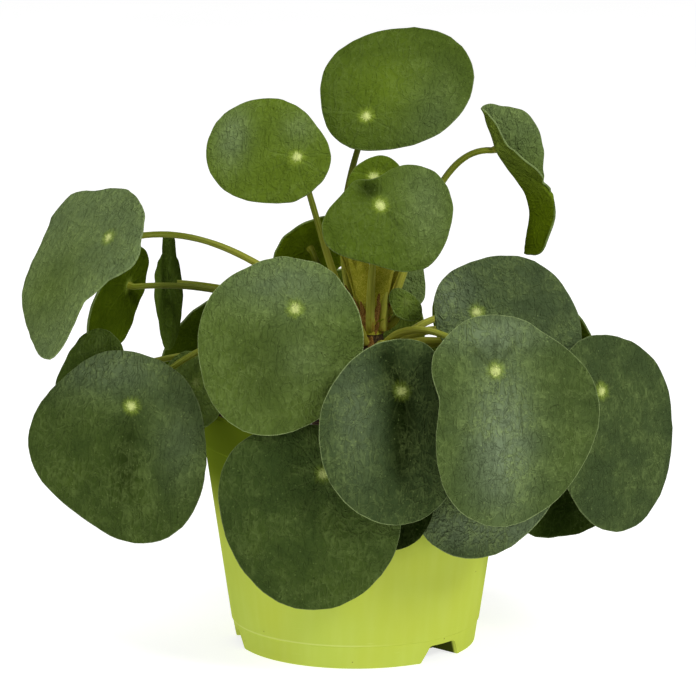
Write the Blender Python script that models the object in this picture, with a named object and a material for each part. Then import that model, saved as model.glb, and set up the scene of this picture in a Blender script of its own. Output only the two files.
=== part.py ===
"""Potted Chinese money plant: a round tapered pot, its soil, a short woody stem and the round leaves on it.

Metres, +Z up. The origin is the middle of the pot's foot, and the plant's front faces -Y.
Each leaf is one solid, blade and stalk together, because it grew as one piece.
"""

import math
from dataclasses import dataclass, replace

import bmesh
import bpy
from mathutils import Matrix, Vector

MM = 0.001
GAP = 0.35 * MM  # left between neighbouring solids

# Pot
POT_HEIGHT = 93 * MM
RIM_RADIUS = 60.6 * MM
BAND_HEIGHT = 14 * MM  # upright band below the rim
BAND_STEP = 1.5 * MM  # how far the band stands out of the wall
FOOT_RADIUS = 45.6 * MM
FOOT_HEIGHT = 9 * MM
FOOT_STEP = 0.7 * MM  # how far the wall stands out of the foot
POT_WALL = 1.7 * MM
FLOOR_THICK = 1.8 * MM
WALL_TAPER = math.radians(8.3)  # lean of the wall from upright
POT_SIDES = 60

NOTCH_COUNT = 3
NOTCH_FIRST = math.radians(-45)  # direction of the notch at the front right
NOTCH_WIDTH = 19 * MM  # at the foot's edge
NOTCH_TOP_WIDTH = 11 * MM
NOTCH_HEIGHT = 6.5 * MM
NOTCH_DEPTH = 16 * MM
EDGE_SOFT = 0.6 * MM  # small slope at the pot's edges
DRAIN_HOLES = 6
DRAIN_RADIUS = 4 * MM
DRAIN_CIRCLE = 31 * MM

# Soil
SOIL_LEVEL = 84 * MM  # at the pot's wall
SOIL_CROWN = 2.5 * MM  # how much higher it lies round the stem
SOIL_LUMP = 0.8 * MM

# Stem
STEM_X = 6 * MM
STEM_RADIUS = 5 * MM
STEM_FOOT = 62 * MM  # height of its lower end, down in the soil
STEM_NARROWS = 112 * MM  # above this height it tapers
STEM_TOP = 128 * MM
STEM_TIP_SHARE = 0.75  # its radius at the top, of the radius below
STEM_SIDES = 16

# Leaves
BLADE_THICK = 0.9 * MM
HUB_RADIUS = 1.5 * MM  # stalk's radius where it meets the blade
STALK_MIDDLE = 1.15 * MM
STALK_BASE = 1.75 * MM
STALK_STEPS = 8
BLADE_RINGS = ((6, 0.0), (12, 0.4), (24, 0.75), (24, 1.0))  # points round, share of the reach
HUB_SHARE = 0.1  # the hub's radius on the flat disc that a blade is shaped from
DOME_OUT = 30.0  # mm from the hub at which a leaf's dome is stated
STALK_CLEAR = 1.5 * MM  # straight start of the stalk, out of the stem
STALK_NECK = 2.2 * MM  # straight end of the stalk, behind the blade
STALK_SWELLS = 0.4  # share of the way to the stem after which the stalk thickens


@dataclass(frozen=True)
class Bend:
    """A stretch across which a blade turns steadily, like paper bent over a rod.

    toward: direction in the blade in which the bend runs, degrees from the blade's right.
    start, end: distance from the hub in that direction, mm.
    turn: degrees in all, backwards if positive and over the upper face if negative.
    bow: how far the bent line bows back, mm, at bow_at along it, fading out over bow_half.
    """

    toward: float
    start: float
    end: float
    turn: float
    bow: float = 0.0
    bow_at: float = 0.0
    bow_half: float = 1.0


@dataclass(frozen=True)
class Leaf:
    """One leaf: where its hub is, how its blade lies and the route of its stalk.

    name: node name.
    hub: where the stalk meets the blade, mm.
    facing: compass direction of the upper face, degrees; -90 is the front.
    tilt: degrees from a level blade to this one; 90 is upright.
    reach: centre to edge in mm, evenly spaced anticlockwise from the blade's right.
    dome: how far the blade lies behind the hub at DOME_OUT from it, mm.
    ruffle: height of the edge's waves, mm.
    base: direction on the stem in degrees, and height in mm, where the stalk grows out.
    leave: how the stalk sets out from the stem, mm.
    arrive: from the hub back to the stalk's last bend, mm.
    bends: curved stretches of the blade.
    centre: where the reaches start, to the right of and above the hub, mm.
    """

    name: str
    hub: tuple
    facing: float
    tilt: float
    reach: tuple
    base: tuple
    leave: tuple
    arrive: tuple
    dome: float = 2.0
    ruffle: float = 0.6
    bends: tuple = ()
    centre: tuple = (0.0, 0.0)


LEAVES = (
    Leaf("leaf_top", (4, 5, 202), -100, 55, (33.5, 44.5, 45.5, 38, 31, 22, 17, 15, 14.5, 14.5, 16, 22),
         base=(140, 122), leave=(-12, 3, 34), arrive=(-7, 4, -22)),
    Leaf("leaf_upper_left", (-22, -10, 188), -102, 62, (13, 13, 14, 19.5, 28, 35, 35.5, 29, 21, 17.5, 15, 13.5),
         base=(190, 122), leave=(-12, -2, 26), arrive=(8, 6, -24)),
    Leaf("leaf_upper_centre", (9, -35, 174), -78, 62, (28, 26, 17.5, 11, 12.5, 14, 19, 25.5, 23.5, 24, 28.5, 28),
         base=(-95, 122), leave=(0, -8, 26), arrive=(-1, 14, -18)),
    Leaf("leaf_small_top", (7, -12, 181), -95, 60, (11, 10, 9, 8, 9.5, 11, 11, 11),
         base=(-45, 122), leave=(2, -3, 24), arrive=(0, 5, -18), dome=6),
    Leaf("leaf_folded_right", (55, 15, 188), -80, 85,
         (12.5, 13, 14.5, 18, 22, 26.5, 28.5, 31, 28.5, 18.5, 16.5, 15,
          14, 12, 10.2, 9.3, 10.8, 15.5, 28, 28, 27.5, 20, 15, 12.5),
         base=(38, 122), leave=(14, 4, 36), arrive=(-20, 2, 1), centre=(5.5, -13),
         bends=(Bend(200, -1.9, 3.1, -130, bow=5.6, bow_at=23, bow_half=23),)),
    Leaf("leaf_far_left", (-90.7, -38, 162.3), -140, 52,
         (23.5, 30.5, 32, 34, 35, 35.5, 36, 36, 38.5, 43, 38.5, 31.5,
          28.5, 28, 28, 28, 28.5, 30, 33.5, 36.5, 31, 21, 18, 20),
         base=(178, 117), leave=(-34, -6, 33), arrive=(28, 14, 7), dome=1.5, centre=(-10, -15)),
    Leaf("leaf_left_underside", (-87, 10, 136), 155, 80, (32, 18.5, 16, 16, 15.5, 14.5, 14, 14.5, 14.5, 22, 27, 36),
         base=(170, 108), leave=(-26, 4, 24), arrive=(28, 2, 2)),
    Leaf("leaf_left_folded", (-72, 18, 135), -90, 88, (22, 15, 19, 15, 22, 24, 26, 24),
         base=(152, 113), leave=(-24, 14, 20), arrive=(6, 22, -4), dome=0,
         bends=(Bend(0, 0.2, 2.5, 80), Bend(180, 0.2, 2.5, 78))),
    Leaf("leaf_left_low_back", (-97.5, -32, 108), -115, 66, (15, 15, 19.5, 17, 15, 19, 21, 19),
         base=(205, 104), leave=(-30, -10, 18), arrive=(18, 20, 6)),
    Leaf("leaf_left_front", (-83, -47, 101), -105, 74, (26.5, 22.5, 20, 20, 23, 27, 36.5, 45, 45, 50, 47, 34),
         base=(215, 109), leave=(-34, -14, 26), arrive=(14, 14, 18)),
    Leaf("leaf_left_inner", (-60, -29, 106), -125, 74, (12, 12, 12, 14, 16, 16, 17, 16),
         base=(230, 100), leave=(-24, -8, 14), arrive=(10, 12, 6)),
    Leaf("leaf_centre_left", (-22, -66, 141), -96, 76, (23, 19.5, 18.5, 18.5, 21, 25.5, 33.5, 40.5, 48, 44.5, 36.5, 29),
         base=(-115, 117), leave=(-6, -24, 26), arrive=(2, 20, 0)),
    Leaf("leaf_low_front", (-12, -72, 81), -95, 82, (24, 21, 18.5, 17.5, 20.5, 29, 37.5, 42.5, 49, 50.5, 43, 33),
         base=(-95, 104), leave=(-2, -28, 18), arrive=(2, 10, 25)),
    Leaf("leaf_centre_low", (17, -79, 113), -74, 80, (18, 18.5, 19.5, 19, 20, 22.5, 28, 36, 45, 48.5, 39, 22.5),
         base=(-80, 109), leave=(2, -28, 22), arrive=(-2, 20, 8)),
    Leaf("leaf_low_inner", (14, -66, 92), -88, 84, (11, 11, 8, 12, 14, 24, 41, 21),
         base=(-70, 99), leave=(3, -26, 14), arrive=(-1, 10, 14)),
    Leaf("leaf_right_front", (50, -90, 123), -80, 80, (33.5, 23.5, 21, 20, 21, 22, 23, 24, 42, 56.5, 51.5, 44),
         base=(-60, 113), leave=(8, -30, 22), arrive=(-10, 26, 8)),
    Leaf("leaf_right_back", (45, -30, 133), -82, 55, (39, 34.5, 27.5, 21.5, 19, 17, 16, 17, 18, 20.5, 30, 40.5),
         base=(-15, 113), leave=(18, -6, 10), arrive=(-6, 6, -18)),
    Leaf("leaf_far_right", (92.1, -30, 103), -50, 78, (35.5, 27.5, 22.5, 21, 21, 20, 21, 27.5, 40, 53, 53, 44),
         base=(-30, 108), leave=(34, -8, 22), arrive=(-20, 16, 14)),
    Leaf("leaf_low_right", (47, -62, 81), -90, 82, (31, 31, 24, 24, 26, 33, 33.5, 28.5),
         base=(-50, 104), leave=(14, -20, 16), arrive=(-8, 12, 22)),
    Leaf("leaf_low_right_back", (80, -16, 84), -40, 84, (30, 24, 20, 22, 26, 41, 40, 45),
         base=(-10, 104), leave=(24, -4, 14), arrive=(-14, 10, 22)),
    Leaf("leaf_right_rear", (66, 18, 122), 65, 60, (26, 22, 18, 20, 26, 32, 36, 32),
         base=(22, 113), leave=(20, 6, 14), arrive=(-12, -6, -8)),
    Leaf("leaf_back_left", (-18, 16, 150), 120, 60, (15, 14.5, 16, 18, 20, 18, 20, 18),
         base=(110, 117), leave=(-6, 6, 14), arrive=(4, -2, -12)),
    Leaf("leaf_back_centre", (16, 24, 138), -88, 62, (10.5, 12, 10, 10, 12, 14, 16, 14.5),
         base=(86, 122), leave=(2, 8, 8), arrive=(0, 6, -8)),
    Leaf("leaf_small_crown", (19, -8, 133), -80, 60, (5, 4.5, 5, 7, 6, 6.5, 7.5, 8),
         base=(-6, 122), leave=(5, -1, 3), arrive=(-3, 2, -4)),
    Leaf("leaf_rear_left", (-56, 70, 104), 135, 70, (30, 24, 18, 16, 26, 34, 40, 34),
         base=(130, 104), leave=(-18, 22, 16), arrive=(12, -14, 6)),
    Leaf("leaf_rear_centre", (-4, 86, 114), 95, 72, (30, 22, 18, 22, 30, 40, 44, 38),
         base=(95, 112), leave=(-2, 28, 20), arrive=(2, -18, 6)),
    Leaf("leaf_rear_right", (54, 72, 112), 50, 70, (28, 22, 20, 22, 30, 38, 42, 34),
         base=(55, 108), leave=(18, 22, 16), arrive=(-12, -14, 6)),
    Leaf("leaf_rear_low_left", (-26, 74, 84), 112, 80, (24, 20, 16, 20, 26, 32, 36, 30),
         base=(112, 99), leave=(-10, 22, 14), arrive=(4, -10, 20)),
    Leaf("leaf_rear_low_right", (34, 72, 86), 65, 80, (26, 20, 16, 18, 24, 30, 36, 32),
         base=(65, 99), leave=(10, 22, 14), arrive=(-4, -10, 20)),
)


def empty_scene():
    for obj in list(bpy.data.objects):
        bpy.data.objects.remove(obj, do_unlink=True)


def material(name, colour, roughness, metallic=0.0):
    made = bpy.data.materials.new(name)
    made.use_nodes = True
    shader = made.node_tree.nodes["Principled BSDF"]
    shader.inputs["Base Color"].default_value = (*colour, 1.0)
    shader.inputs["Roughness"].default_value = roughness
    shader.inputs["Metallic"].default_value = metallic
    return made


def add_object(name, bm, finish, smooth_below=40):
    mesh = bpy.data.meshes.new(name)
    bm.to_mesh(mesh)
    bm.free()
    mesh.materials.append(finish)
    mesh.shade_smooth()
    mesh.set_sharp_from_angle(angle=math.radians(smooth_below))
    made = bpy.data.objects.new(name, mesh)
    bpy.context.scene.collection.objects.link(made)
    return made


def turned(profile, sides):
    """A closed solid turned about Z from a closed outline of (radius, height) points."""
    bm = bmesh.new()
    corners = [bm.verts.new((radius, 0.0, height)) for radius, height in profile]
    for first, second in zip(corners, corners[1:] + corners[:1]):
        bm.edges.new((first, second))
    bmesh.ops.spin(bm, geom=bm.verts[:] + bm.edges[:], axis=(0, 0, 1), cent=(0, 0, 0),
                   steps=sides, angle=math.tau, use_merge=True)
    bmesh.ops.remove_doubles(bm, verts=bm.verts[:], dist=0.005 * MM)
    bmesh.ops.recalc_face_normals(bm, faces=bm.faces[:])
    return bm


def cut(body, cutters):
    """Takes the cutters out of the body and removes them."""
    for cutter in cutters:
        cutter.hide_render = True
        cutter.display_type = "WIRE"
        knife = body.modifiers.new(cutter.name, "BOOLEAN")
        knife.operation = "DIFFERENCE"
        knife.solver = "EXACT"
        knife.object = cutter
    graph = bpy.context.evaluated_depsgraph_get()
    finished = bpy.data.meshes.new_from_object(body.evaluated_get(graph))
    body.modifiers.clear()
    body.data = finished
    for cutter in cutters:
        bpy.data.objects.remove(cutter, do_unlink=True)


def wall_radius(height):
    """Outer radius of the pot's wall at a height above the foot."""
    foot_top = FOOT_RADIUS + FOOT_HEIGHT * math.tan(WALL_TAPER) + FOOT_STEP
    return foot_top + (height - FOOT_HEIGHT) * math.tan(WALL_TAPER)


def pot_profile():
    """Outline of the pot's section: up the outside, over the rim, down the inside and round the foot."""
    band_foot = POT_HEIGHT - BAND_HEIGHT
    band_top = wall_radius(POT_HEIGHT) + BAND_STEP
    floor_top = FOOT_HEIGHT + FLOOR_THICK
    return (
        (FOOT_RADIUS, 0.0),
        (FOOT_RADIUS + FOOT_HEIGHT * math.tan(WALL_TAPER), FOOT_HEIGHT - EDGE_SOFT),
        (wall_radius(FOOT_HEIGHT), FOOT_HEIGHT),
        (wall_radius(band_foot - EDGE_SOFT), band_foot - EDGE_SOFT),
        (wall_radius(band_foot) + BAND_STEP, band_foot),
        (band_top, POT_HEIGHT - EDGE_SOFT),
        (band_top - EDGE_SOFT, POT_HEIGHT),
        (wall_radius(POT_HEIGHT) - POT_WALL, POT_HEIGHT),
        (wall_radius(floor_top) - POT_WALL, floor_top),
        (DRAIN_RADIUS, floor_top),
        (DRAIN_RADIUS, FOOT_HEIGHT),
        (FOOT_RADIUS - POT_WALL + FOOT_HEIGHT * math.tan(WALL_TAPER), FOOT_HEIGHT),
        (FOOT_RADIUS - POT_WALL, 0.0),
    )


def notch_cutter(index):
    """A wedge with sloped sides that opens the foot ring from below."""
    bm = bmesh.new()
    bmesh.ops.create_cube(bm, size=1.0)
    for vert in bm.verts:
        top = vert.co.z > 0
        width = NOTCH_TOP_WIDTH if top else NOTCH_WIDTH + 3 * MM
        vert.co.y *= width
        vert.co.x = FOOT_RADIUS + vert.co.x * NOTCH_DEPTH
        vert.co.z = NOTCH_HEIGHT if top else -2 * MM
    angle = NOTCH_FIRST + index * math.tau / NOTCH_COUNT
    bm.transform(Matrix.Rotation(angle, 4, "Z"))
    return add_object(f"notch_{index}", bm, bpy.data.materials["pot"])


def drain_cutter(index):
    bm = bmesh.new()
    bmesh.ops.create_cone(bm, cap_ends=True, segments=12, radius1=DRAIN_RADIUS,
                          radius2=DRAIN_RADIUS, depth=4 * FLOOR_THICK)
    angle = (index + 0.5) * math.tau / DRAIN_HOLES
    place = Vector((DRAIN_CIRCLE * math.cos(angle), DRAIN_CIRCLE * math.sin(angle),
                    FOOT_HEIGHT + FLOOR_THICK / 2))
    bmesh.ops.translate(bm, verts=bm.verts[:], vec=place)
    return add_object(f"drain_{index}", bm, bpy.data.materials["pot"])


def build_pot():
    finish = material("pot", (0.46, 0.56, 0.06), 0.42)
    pot = add_object("pot", turned(pot_profile(), POT_SIDES), finish)
    notches = [notch_cutter(index) for index in range(NOTCH_COUNT)]
    drains = [drain_cutter(index) for index in range(DRAIN_HOLES)]
    cut(pot, notches + drains)
    return pot


def soil_height(x, y):
    """Uneven top of the soil, a little higher round the stem."""
    out = math.hypot(x, y) / RIM_RADIUS
    crown = SOIL_CROWN * max(0.0, 1.0 - out * out)
    lumps = math.sin(x / (6 * MM)) * math.cos(y / (5 * MM)) + math.sin((x + y) / (9 * MM))
    return SOIL_LEVEL + crown + SOIL_LUMP * lumps * (1.0 - out)


def build_soil():
    inner_top = wall_radius(SOIL_LEVEL) - POT_WALL - GAP
    floor = FOOT_HEIGHT + FLOOR_THICK + GAP
    inner_foot = wall_radius(floor) - POT_WALL - GAP
    rings = [(inner_top * share, SOIL_LEVEL) for share in (1.0, 0.8, 0.55, 0.3, 0.0)]
    bm = turned([(0.0, floor), (inner_foot, floor)] + rings, POT_SIDES // 2)
    for vert in bm.verts:
        if vert.co.z > SOIL_LEVEL - MM:
            vert.co.z = soil_height(vert.co.x, vert.co.y)
    bmesh.ops.triangulate(bm, faces=bm.faces[:])
    soil = add_object("soil", bm, material("soil", (0.045, 0.028, 0.018), 0.95))
    hole = bmesh.new()
    depth = SOIL_LEVEL - STEM_FOOT + 20 * MM
    bmesh.ops.create_cone(hole, cap_ends=True, segments=STEM_SIDES, radius1=STEM_RADIUS + GAP,
                          radius2=STEM_RADIUS + GAP, depth=depth)
    place = Vector((STEM_X, 0.0, STEM_FOOT - GAP + depth / 2))
    bmesh.ops.translate(hole, verts=hole.verts[:], vec=place)
    cut(soil, [add_object("stem_hole", hole, bpy.data.materials["soil"])])
    return soil


def stem_radius(height):
    """The stem is even up to the lower leaf stalks, and narrows above them."""
    share = max(0.0, (height - STEM_NARROWS) / (STEM_TOP - STEM_NARROWS))
    return STEM_RADIUS * (1.0 - (1.0 - STEM_TIP_SHARE) * share)


def build_stem():
    heights = (STEM_FOOT, STEM_NARROWS, STEM_TOP - 3 * MM)
    side = [(stem_radius(height), height) for height in heights]
    tip = [(STEM_RADIUS / 2, STEM_TOP), (0.0, STEM_TOP + MM)]
    bm = turned([(0.0, STEM_FOOT)] + side + tip, STEM_SIDES)
    bmesh.ops.translate(bm, verts=bm.verts[:], vec=(STEM_X, 0.0, 0.0))
    return add_object("stem", bm, material("stem", (0.10, 0.055, 0.025), 0.8))


def edge_reach(reach, angle):
    """Smooth curve through the reaches: centre to edge at any angle."""
    count = len(reach)
    total = 0.0
    for index, value in enumerate(reach):
        away = angle - math.tau * index / count
        waves = sum(2.0 * math.cos(order * away) for order in range(1, count // 2))
        total += value * (1.0 + waves + math.cos(count / 2 * away)) / count
    return total


def bent(bend, point):
    """The point after the bend: x right, y up and z forward of the blade, in mm."""
    direction = math.radians(bend.toward)
    toward = Vector((math.cos(direction), math.sin(direction), 0.0))
    along = Vector((-toward.y, toward.x, 0.0))
    aside = point.dot(along)
    fade = max(-1.0, min(1.0, (aside - bend.bow_at) / bend.bow_half))
    line = -bend.bow * math.cos(fade * math.pi / 2) ** 2
    out = point.dot(toward) - line - bend.start
    if out <= 0.0:
        return point
    length = bend.end - bend.start
    angle = math.radians(bend.turn) * min(1.0, out / length)
    radius = length / math.radians(bend.turn)
    beyond = max(0.0, out - length)
    forth = line + bend.start + radius * math.sin(angle) + beyond * math.cos(angle)
    back = radius * (1.0 - math.cos(angle)) + beyond * math.sin(angle)
    lifted = Vector((0.0, 0.0, math.cos(angle))) + toward * math.sin(angle)
    return along * aside + toward * forth - Vector((0.0, 0.0, back)) + lifted * point.z


def blade_point(leaf, angle, share):
    """Point of the flat-laid leaf after doming, ruffling and bending, in the blade's own axes, mm."""
    toward = Vector((math.cos(angle), math.sin(angle), 0.0))
    edge = Vector((*leaf.centre, 0.0)) + toward * edge_reach(leaf.reach, angle)
    point = (toward * HUB_RADIUS / MM).lerp(edge, share)
    point.z = leaf.ruffle * share ** 3 * math.sin(3 * angle + leaf.facing)
    point.z -= leaf.dome * (point.xy.length / DOME_OUT) ** 2
    for bend in leaf.bends:
        point = bent(bend, point)
    return point


def blade_axes(leaf):
    """Columns: right, up and forward of the blade."""
    facing, tilt = math.radians(leaf.facing), math.radians(leaf.tilt)
    forward = Vector((math.sin(tilt) * math.cos(facing), math.sin(tilt) * math.sin(facing), math.cos(tilt)))
    right = Vector((-math.sin(facing), math.cos(facing), 0.0))
    return Matrix((right, forward.cross(right), forward)).transposed()


def laid_disc():
    """A flat disc of rings, from the hub's polygon out to a radius of 1."""
    bm = bmesh.new()
    hub_points = BLADE_RINGS[0][0]
    bmesh.ops.create_circle(bm, cap_ends=True, segments=hub_points, radius=HUB_SHARE)
    for count, share in BLADE_RINGS[1:]:
        bmesh.ops.extrude_edge_only(bm, edges=[edge for edge in bm.edges if edge.is_boundary])
        rim = [edge for edge in bm.edges if edge.is_boundary]
        if count > len(rim):
            bmesh.ops.subdivide_edges(bm, edges=rim, cuts=count // len(rim) - 1)
        for vert in {vert for edge in bm.edges if edge.is_boundary for vert in edge.verts}:
            vert.co = vert.co.normalized() * (HUB_SHARE + (1.0 - HUB_SHARE) * share)
    return bm


def thicken(bm, thickness):
    """Gives a sheet its underside, each point straight behind the one in front."""
    bm.normal_update()
    copied = bmesh.ops.duplicate(bm, geom=bm.verts[:] + bm.edges[:] + bm.faces[:])["geom"]
    for vert in [part for part in copied if isinstance(part, bmesh.types.BMVert)]:
        vert.co -= vert.normal * thickness
    under = [part for part in copied if isinstance(part, bmesh.types.BMFace)]
    bmesh.ops.reverse_faces(bm, faces=under)
    bmesh.ops.bridge_loops(bm, edges=[edge for edge in bm.edges if edge.is_boundary])


def stalk_route(leaf, hub, back):
    """Middle line of the stalk from behind the hub down to the stem."""
    direction = math.radians(leaf.base[0])
    height = leaf.base[1] * MM
    outward = Vector((math.cos(direction), math.sin(direction), 0.0))
    root = Vector((STEM_X, 0.0, height)) + outward * (stem_radius(height) + GAP)
    start = root + outward * STALK_CLEAR
    end = hub + back * STALK_NECK
    first = start + Vector(leaf.leave) * MM
    last = end + Vector(leaf.arrive) * MM
    route = []
    for step in range(STALK_STEPS + 1):
        t = 1.0 - step / STALK_STEPS
        route.append(start * (1 - t) ** 3 + first * 3 * t * (1 - t) ** 2
                     + last * 3 * t * t * (1 - t) + end * t ** 3)
    return route + [root], -outward


def grow_stalk(bm, face, leaf):
    """Draws the hub's back face out along the stalk's route to the stem."""
    place, direction = face.calc_center_median(), face.normal.copy()
    radius = HUB_RADIUS
    route, last_direction = stalk_route(leaf, place, direction)
    for step, point in enumerate(route):
        before = route[step - 1] if step else place
        after = route[step + 1] if step + 1 < len(route) else None
        turned_to = (after - before).normalized() if after else last_direction
        share = step / (len(route) - 1)
        swell = max(0.0, share - STALK_SWELLS) / (1.0 - STALK_SWELLS)
        wanted = STALK_MIDDLE + (STALK_BASE - STALK_MIDDLE) * swell
        face = bmesh.ops.extrude_discrete_faces(bm, faces=[face])["faces"][0]
        turn = direction.rotation_difference(turned_to).to_matrix()
        for vert in face.verts:
            vert.co = point + turn @ (vert.co - place) * (wanted / radius)
        place, direction, radius = point, turned_to, wanted


def build_leaf(leaf, finish):
    bm = laid_disc()
    axes = blade_axes(leaf)
    bare = replace(leaf, reach=(0.0,) * len(leaf.reach), centre=(0.0, 0.0))
    middle = blade_point(bare, 0.0, 1.0)
    for vert in bm.verts:
        share = (vert.co.length - HUB_SHARE) / (1.0 - HUB_SHARE)
        point = blade_point(leaf, math.atan2(vert.co.y, vert.co.x), share)
        vert.co = (Vector(leaf.hub) + axes @ (point - middle)) * MM
    hub_face = next(face for face in bm.faces if not any(edge.is_boundary for edge in face.edges)
                    and len(face.verts) == BLADE_RINGS[0][0])
    bmesh.ops.triangulate(bm, faces=[face for face in bm.faces if face is not hub_face])
    bmesh.ops.recalc_face_normals(bm, faces=bm.faces[:])
    hub_face = next(face for face in bm.faces if len(face.verts) == BLADE_RINGS[0][0])
    if hub_face.normal.dot(axes.col[2]) < 0:
        bmesh.ops.reverse_faces(bm, faces=bm.faces[:])
    thicken(bm, BLADE_THICK)
    bmesh.ops.recalc_face_normals(bm, faces=bm.faces[:])
    hubs = [face for face in bm.faces if len(face.verts) == BLADE_RINGS[0][0]]
    grow_stalk(bm, min(hubs, key=lambda face: face.normal.dot(axes.col[2])), leaf)
    return add_object(leaf.name, bm, finish, smooth_below=60)


def main():
    empty_scene()
    build_pot()
    build_soil()
    build_stem()
    finish = material("leaf", (0.075, 0.155, 0.03), 0.42)
    for leaf in LEAVES:
        build_leaf(leaf, finish)


if __name__ == "__main__":
    main()
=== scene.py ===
"""Potted Chinese money plant: the looks of its pot, soil, stem and leaves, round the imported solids.

Sizes are in millimetres unless a comment says otherwise, and MM turns them into metres.
The plant's front faces -Y. Each leaf is one piece, blade and stalk together.
"""

import sys
import logging
import math
import random
from collections.abc import Callable, Iterable
from dataclasses import dataclass
from enum import Enum
from functools import lru_cache

import bmesh
import bpy
from mathutils import Color, Matrix, Vector, noise


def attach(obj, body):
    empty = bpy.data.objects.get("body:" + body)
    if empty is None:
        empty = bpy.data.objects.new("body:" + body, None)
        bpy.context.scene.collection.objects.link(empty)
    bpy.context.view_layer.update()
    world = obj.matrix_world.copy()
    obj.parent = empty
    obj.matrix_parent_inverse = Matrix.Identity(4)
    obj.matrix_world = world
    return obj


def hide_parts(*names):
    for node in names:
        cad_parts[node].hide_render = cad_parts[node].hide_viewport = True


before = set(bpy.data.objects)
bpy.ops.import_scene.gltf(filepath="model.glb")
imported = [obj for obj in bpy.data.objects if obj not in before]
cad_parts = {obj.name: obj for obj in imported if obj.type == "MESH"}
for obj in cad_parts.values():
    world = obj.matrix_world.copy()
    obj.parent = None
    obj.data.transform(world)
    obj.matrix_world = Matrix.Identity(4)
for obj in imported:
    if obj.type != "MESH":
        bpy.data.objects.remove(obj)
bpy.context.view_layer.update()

MM = 0.001
GAP = 0.35  # left between neighbouring solids

Pair = tuple[float, float]
Triple = tuple[float, float, float]
Colour = Triple
log = logging.getLogger("plant")


# General helpers


def shade(red: int, green: int, blue: int) -> Colour:
    """Linear colour of a shade that a screen shows with these 0 to 255 values."""
    return tuple(Color((red / 255, green / 255, blue / 255)).from_srgb_to_scene_linear())


def smooth(value: float, low: float, high: float) -> float:
    """Rises smoothly from 0 at low to 1 at high; high may be the lower one."""
    share = max(0.0, min(1.0, (value - low) / (high - low)))
    return share * share * (3.0 - 2.0 * share)


def compass(degrees: float) -> Vector:
    """Level unit vector in a compass direction."""
    return Vector((math.cos(math.radians(degrees)), math.sin(math.radians(degrees)), 0.0))


def uneven(point: Iterable[float], size: float, seed: float = 0.0) -> float:
    """Smooth seeded unevenness from about -1 to 1, with bumps of the given size."""
    return noise.noise(Vector(point) / size + Vector((seed * 7.3, seed * 3.1, seed * 5.7)))


class Slot(Enum):
    """The record's material slots."""

    POT = "pot"
    SOIL = "soil"
    STEM = "stem"
    LEAF = "leaf"


def add_object(name: str, data: bpy.types.ID) -> bpy.types.Object:
    """Puts a new object into the scene.

    Args:
        name: name of the object.
        data: its mesh, camera or light.

    Returns:
        The object.
    """
    thing = bpy.data.objects.new(name, data)
    bpy.context.scene.collection.objects.link(thing)
    return thing


def add_mesh(name: str, bm: bmesh.types.BMesh,
             finishes: Iterable[bpy.types.Material] = ()) -> bpy.types.Object:
    """Turns a mesh in millimetres into an object, and frees it.

    Args:
        name: name of the object.
        bm: its mesh.
        finishes: its materials, in the order of the faces' numbers.

    Returns:
        The new object.
    """
    bm.transform(Matrix.Scale(MM, 4))
    mesh = bpy.data.meshes.new(name)
    bm.to_mesh(mesh)
    bm.free()
    for finish in finishes:
        mesh.materials.append(finish)
    return add_object(name, mesh)


def soften(mesh: bpy.types.Mesh, sharp_above: float) -> None:
    """Shades a mesh smooth, apart from the edges above an angle in degrees."""
    mesh.shade_smooth()
    mesh.set_sharp_from_angle(angle=math.radians(sharp_above))


def add_piece(name: str, bm: bmesh.types.BMesh, finishes: Iterable[bpy.types.Material],
              replaces: str = "", sharp_above: float = 60.0) -> bpy.types.Object:
    """Turns a mesh in millimetres into a finished piece of the object.

    Args:
        name: name of the piece.
        bm: its mesh, which is freed.
        finishes: its materials, in the order of the faces' numbers.
        replaces: the CAD node that it stands for, if any.
        sharp_above: angle in degrees above which an edge stays sharp.

    Returns:
        The new object, riding on the plant's one body.
    """
    piece = add_mesh(name, bm, finishes)
    soften(piece.data, sharp_above)
    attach(piece, "root")
    if replaces:
        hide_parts(replaces)
    piece.data.calc_loop_triangles()
    log.info("%s: %d triangles", name, len(piece.data.loop_triangles))
    return piece


def turned(profile: Iterable[Pair], sides: int) -> bmesh.types.BMesh:
    """Turns a closed outline about Z, with the faces outwards.

    Args:
        profile: radius and height of each of its points.
        sides: steps in a full turn.

    Returns:
        The turned mesh.
    """
    bm = bmesh.new()
    corners = [bm.verts.new((radius, 0.0, height)) for radius, height in profile]
    for first, second in zip(corners, corners[1:] + corners[:1]):
        bm.edges.new((first, second))
    bmesh.ops.spin(bm, geom=bm.verts[:] + bm.edges[:], axis=(0, 0, 1), cent=(0, 0, 0),
                   steps=sides, angle=math.tau, use_merge=True)
    bmesh.ops.remove_doubles(bm, verts=bm.verts[:], dist=0.005)
    bmesh.ops.recalc_face_normals(bm, faces=bm.faces[:])
    return bm


def thicken(bm: bmesh.types.BMesh, thickness: float) -> set[bmesh.types.BMFace]:
    """Gives a sheet its underside, straight behind each point.

    Args:
        bm: the sheet.
        thickness: from the sheet to its underside.

    Returns:
        The underside's faces.
    """
    bm.normal_update()
    copied = bmesh.ops.duplicate(bm, geom=bm.verts[:] + bm.edges[:] + bm.faces[:])["geom"]
    for vert in [part for part in copied if isinstance(part, bmesh.types.BMVert)]:
        vert.co -= vert.normal * thickness
    under = [part for part in copied if isinstance(part, bmesh.types.BMFace)]
    bmesh.ops.reverse_faces(bm, faces=under)
    bmesh.ops.bridge_loops(bm, edges=[edge for edge in bm.edges if edge.is_boundary])
    return set(under)


# Shader building


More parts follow.
